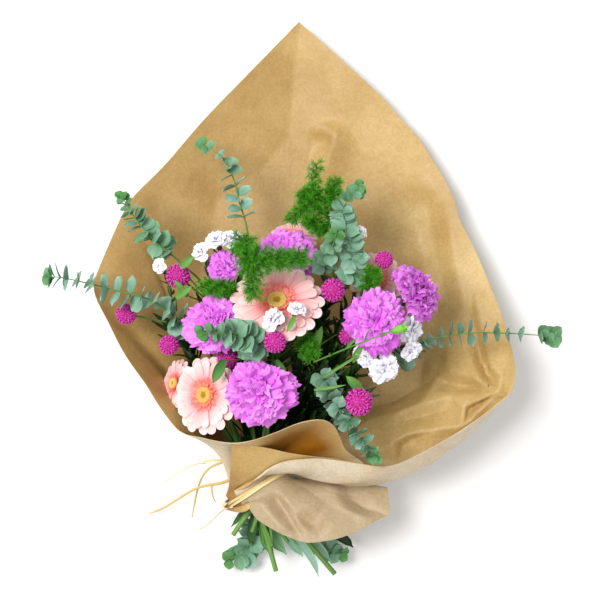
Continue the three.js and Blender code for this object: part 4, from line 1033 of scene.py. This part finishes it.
def leafAt(piece, path, k, length, half, draw):
    # A narrow leaf out of a stem that arches over towards its tip
    spot, ahead, side, up = frameAt(path, k)
    turn = draw.uniform(0, 2 * math.pi)
    out = side * math.cos(turn) + up * math.sin(turn)
    reach = (ahead * 0.8 + out * 0.7).normalized()
    broad = ahead.cross(out).normalized()
    size = length * draw.uniform(0.7, 1.1)
    bow = size * draw.uniform(-0.16, 0.16)
    leaf = blade(size, half, narrowLeaf, 9, 5, (0, bow * 0.6, bow, bow * 0.7, -bow * 0.2), 0.35, 0)
    shade = np.interp(spot.z, [80, 150], [0.95, 0.1])  # painted shade: leaves low down in the bouquet are darker
    piece.patch(placed(leaf, axes(reach, broad, reach.cross(broad), spot)), 1,
                shade * draw.uniform(0.8, 1.0))


def makeStems():
    draw = random.Random(700)
    bundle = Piece()
    radii = stalks["radii"]
    neck = atNeck(0, 0)
    forks = [above(*place) for place in stalks["forks"]]

    def nearest(point):
        return min(forks, key=lambda fork: (fork - point).length)

    def stalk(points, radius):
        smooth = smoothThrough(points, np.linspace(0, len(points) - 1, 26))
        bundle.patch(tube(smooth, radius, 8), 0, draw.uniform(0, 0.8), closed=True)
        return smooth

    # Flower stems, from the cut end through the tie to the back of the bloom
    flowers = [(backOf(at, face, gerberas["depth"]), face, radii["gerbera"])
               for _, at, face, _ in gerberas["flowers"]]
    flowers += [(backOf(at, face, size * petalForm["depth"]), face, radii["carnation"])
                for _, at, face, size in carnations["flowers"]]
    for i, (base, face, radius) in enumerate(flowers):
        turn = i * 2.4
        inTie = stalks["bunchRadius"] * math.sqrt(((i * 7) % 10 + 1) / 10)
        tied = neck + Vector((math.cos(turn) * inTie, 0, math.sin(turn) * inTie))
        approach = base - Vector(face).normalized() * stalks["approach"]
        end = [above(*stalks["ends"][i])] if i < len(stalks["ends"]) else []
        path = stalk([*end, tied, sagging(tied, approach, stalks["sag"]), approach, base], radius)
        if i < len(gerberas["flowers"]):
            continue  # a gerbera's stem bears no leaves
        for k in [*range(9, 19)] * 3:  # three leaves at each of these points
            leafAt(bundle, path, k, stalks["leaf"], stalks["leafHalf"], draw)
    # Forked stems, and the twigs that leave their ends
    for i, fork in enumerate(forks):
        tied = neck + Vector((math.cos(i * 2) * 9, 0, math.sin(i * 2) * 9))
        path = stalk([tied, sagging(tied, fork, stalks["sag"]), fork], radii["fork"])
        for k in [10, 12, *range(14, 25)] * 3:
            leafAt(bundle, path, k, stalks["leaf"], stalks["leafHalf"], draw)
    twigs = [(backOf(at, face, size * petalForm["depth"]), "spray")
             for _, at, face, size in sprays["flowers"]]
    twigs += [(above(x, y, z - radius), "globe") for x, y, z, radius in globes["heads"]]
    twigs += [(above(*look["route"][0]), "eucalyptus") for look in eucalyptus.values()]
    twigs += [(above(*stems[0][0]), "fern") for _, _, stems in ferns["plumes"].values()]
    for end, kind in twigs:
        start = neck if end.y < -180 else nearest(end)
        path = stalk([start, sagging(start, end, stalks["twigSag"]), end], radii[kind])
        if kind == "spray":
            for k in [8, 13, 18, 22] * 2:
                leafAt(bundle, path, k, stalks["sprayLeaf"], stalks["sprayLeafHalf"], draw)
    for low in stalks["ends"]:
        start = neck + Vector((draw.uniform(-9, 9), 0, draw.uniform(-9, 9)))
        end = above(*low)
        stalk([start, start.lerp(end, 0.5), end], draw.uniform(*radii["cutEnd"]))
    for tip, bend, half, finish, shade in stalks["lowLeaves"]:
        path = smoothThrough([neck, above(*bend), above(*tip)], np.linspace(0, 2, 14))
        leaf = blade(1, half, lowLeafOutline, 14, 5, (0, 0), 0.3, 0)
        _, across, up = framesAlong(path)
        leaf = path[:, None] + across[:, None] * leaf[:, :, 1:2] + up[:, None] * leaf[:, :, 2:]
        bundle.patch(leaf, finish, shade)
    for base, tip, half, finish, shade in stalks["sprigs"]:
        base, tip = above(*base), above(*tip)
        fork = nearest(base)
        stalk([fork, sagging(fork, base, stalks["twigSag"]), base], radii["sprig"])
        reach = (tip - base).normalized()
        broad = Vector((0, 0, 1)).cross(reach).normalized()
        leaf = blade((tip - base).length, half, narrowLeaf, 9, 5, (0, 2, 2, -1), 0.35, 0)
        bundle.patch(placed(leaf, axes(reach, broad, reach.cross(broad), base)), finish, shade)
    bundle.build("stemBundle", ["stems"], [greenStem, greenLeaf, greyLeaf])


makeStems()
print("stems made")

# Bud on its side stem, crossing over the right carnation: a fluted cup with pointed teeth
budStem = {
    "route": [(14, -62, 150), (38, -52, 176), (68, -40, 192), (91, -32, 190)],
    "radius": 0.8,
    "bud": 5.8, "teeth": 7, "tooth": (9, 2.2),
    "cup": [(0.144, 0), (0.4464, 0.36), (0.648, 1.008), (0.684, 1.728), (0.504, 2.376)],
    "leaf": 20, "leafHalf": 1.8,
}


def makeBud():
    draw = random.Random(800)
    points = route(budStem["route"], 30)
    piece = Piece()
    piece.patch(tube(points, budStem["radius"], 6), 1, 0.3, closed=True)
    end, ahead, _, _ = frameAt(points, -1)
    matrix = facing(end, ahead)
    cup = turned(np.array(budStem["cup"]) * budStem["bud"], 15, 0.08)
    piece.patch(placed(cup, matrix), 0, 0.2, closed=True)
    count = budStem["teeth"]
    for i in range(count):
        tooth = blade(*budStem["tooth"], (1, 0.9, 0.6, 0.1), 5, 3, (0, 0, -0.4, -1.2), 0.3)
        tooth = turnedUp(tooth, math.radians(76 - 14 * (i % 2)), i * 2 * math.pi / count,
                         (budStem["bud"] * 0.55, 0, budStem["bud"] * 1.7))
        piece.patch(placed(tooth, matrix), 0, draw.uniform(0, 0.4))
    for k in (6, 12, 18, 24):  # the points of the stem that bear a leaf
        leafAt(piece, points, k, budStem["leaf"], budStem["leafHalf"], draw)
    piece.build("budStem", ["bud_stem"], [freshGreen, greenStem])


makeBud()
print("bud stem made")

# Raffia: flat strips drawn round the neck one over another, a knot, and loose ends
raffia = {
    "strands": 8, "width": 2.6, "spread": 4.4, "steps": 60,
    "knotAngle": 172, "seat": 1.5,
    "knotRadius": 33, "knotLoops": 7, "knotWidth": 2.2, "knotSize": (3.6, 4.6),
    "round": [  # radius of the paper under the band, by angle
        (172, 29.6), (192, 23.5), (230, 22.2), (330, 22.5), (380, 28.5), (502, 28.5),
        (532, 29.6)],
    # The loose ends come out from under the flap: width, turns along it, and places
    "tails": [
        (3.4, 0.8, [(-60, -176, 56), (-78, -183, 46), (-104, -189, 32), (-134, -207, 14),
                    (-151, -214, 8)]),
        (3.0, 1.2, [(-60, -160, 70), (-76, -162, 56), (-92, -170, 40), (-101, -186, 26),
                    (-108, -218, 8)]),
        (2.6, 0.9, [(-60, -158, 66), (-76, -160, 54), (-92, -161, 42), (-97, -162, 38)]),
        (1.4, 1.0, [(-94, -163, 34), (-106, -165, 28), (-124, -174, 18), (-140, -187, 8)]),
        (1.8, 0.9, [(-84, -184, 40), (-88, -187, 34), (-87, -196, 24), (-84, -203, 18)]),
        (1.4, 1.0, [(-72, -206, 40), (-81, -214, 26), (-94, -226, 12), (-106, -231, 6)])],
}


def strip(piece, points, width, flat, draw, twist=0.0):
    # A hollow strip along a curve; flat is the way its broad side looks at each point
    tangents = np.gradient(points, axis=0)
    tangents /= np.linalg.norm(tangents, axis=1)[:, None]
    broad = np.cross(tangents, flat)
    broad /= np.linalg.norm(broad, axis=1)[:, None]
    up = np.cross(broad, tangents)
    turns = np.linspace(0, twist, len(points))[:, None]
    broad, up = (broad * np.cos(turns) + up * np.sin(turns),
                 up * np.cos(turns) - broad * np.sin(turns))
    taper = np.interp(np.linspace(0, 1, len(points)), [0, 0.04, 0.85, 1], [0.8, 1, 1, 0.25])
    across = np.array([-1, -0.4, 0.4, 1]) * width / 2 * taper[:, None]
    crown = np.array([-0.25, 0.15, 0.15, -0.25]) * width
    grid = points[:, None] + broad[:, None] * across[:, :, None] + up[:, None] * crown[:, None]
    piece.patch(grid, 0, draw.uniform(0, 0.7))


def makeRaffia():
    draw = random.Random(900)
    tie = Piece()
    along = Vector((-wrap["slant"], 1, 0)).normalized()
    for strand in range(raffia["strands"]):
        start, end = (draw.uniform(-1, 1) * raffia["spread"] for _ in range(2))
        points, outs = [], []
        for i in range(raffia["steps"] + 1):
            share = i / raffia["steps"]
            angle = raffia["knotAngle"] + share * 360
            radius = ramp(raffia["round"], angle)[0] + raffia["seat"] + strand * 0.16
            sway = start + (end - start) * share + math.sin(i * 0.2 + strand) * 0.8
            points.append(atNeck(angle, radius) + along * sway)
            turn = math.radians(angle)
            outs.append((math.cos(turn), 0, math.sin(turn)))
        width = raffia["width"] * draw.uniform(0.5, 1.0)
        strip(tie, np.array(points), width, np.array(outs), draw)
    knot = atNeck(raffia["knotAngle"], raffia["knotRadius"])
    wide, high = raffia["knotSize"]
    for _ in range(raffia["knotLoops"]):
        axis = Vector((draw.uniform(-0.4, 0.4), 1, draw.uniform(-0.6, 0.6))).normalized()
        side = axis.orthogonal().normalized()
        other = axis.cross(side)
        loop = [knot + side * math.cos(t) * wide + other * math.sin(t) * high + axis * (t - 3) * 0.8
                for t in np.linspace(0, 5.6, 22)]
        outs = [(point - knot).normalized() for point in loop]
        strip(tie, np.array(loop), raffia["knotWidth"], np.array(outs), draw)
    for width, twist, tail in raffia["tails"]:
        points = route(tail, 36)
        strip(tie, points, width, np.array([(0, 0, 1.0)] * len(points)), draw, twist)
    tie.build("raffiaTie", ["raffia"], [raffiaStrip])


makeRaffia()
print("raffia made")

# Camera straight above, a pale floor and soft studio light
studio = {
    "sensor": 36.0,
    "floor": "#F4F3F2", "floorSize": 8.0,
    "lamps": {  # place, size and power
        "key": ((-0.95, 0.45, 2.1), 1.0, 52.0),
        "fill": ((0.6, -0.9, 2.1), 2.2, 12.0)},
    "sky": "#FFFFFF", "skyStrength": 0.5,
}


def makeStudio():
    lens = bpy.data.cameras.new("camera")
    lens.sensor_width = studio["sensor"]
    lens.lens = studio["sensor"] * (eye["height"] - eye["bloomHeight"]) / eye["across"]
    bpy.context.scene.camera = addObject(
        "camera", lens, Vector((shift.x, shift.y, eye["height"])) * millimetre)
    for name, (place, size, power) in studio["lamps"].items():
        light = bpy.data.lights.new(name, "AREA")
        light.size, light.energy = size, power
        lamp = addObject(name, light, place)
        lamp.rotation_euler = (-Vector(place)).to_track_quat("-Z", "Y").to_euler()
    world = bpy.data.worlds.new("sky")
    bpy.context.scene.world = world
    world.use_nodes = True
    sky = world.node_tree.nodes["Background"]
    sky.inputs["Color"].default_value = srgb(studio["sky"])
    sky.inputs["Strength"].default_value = studio["skyStrength"]
    half = studio["floorSize"] / 2
    mesh = bpy.data.meshes.new("floor")
    mesh.from_pydata([(-half, -half, 0), (half, -half, 0), (half, half, 0), (-half, half, 0)],
                     [], [(0, 1, 2, 3)])
    # Painted board, matt: a soft shadow and no reflection
    mesh.materials.append(startMaterial("floorPaint", {
        "Base Color": srgb(studio["floor"]), "Roughness": 0.9})[0])
    floor = addObject("floor", mesh)
    bpy.context.scene.view_settings.view_transform = "Standard"


makeStudio()
print("scene made")
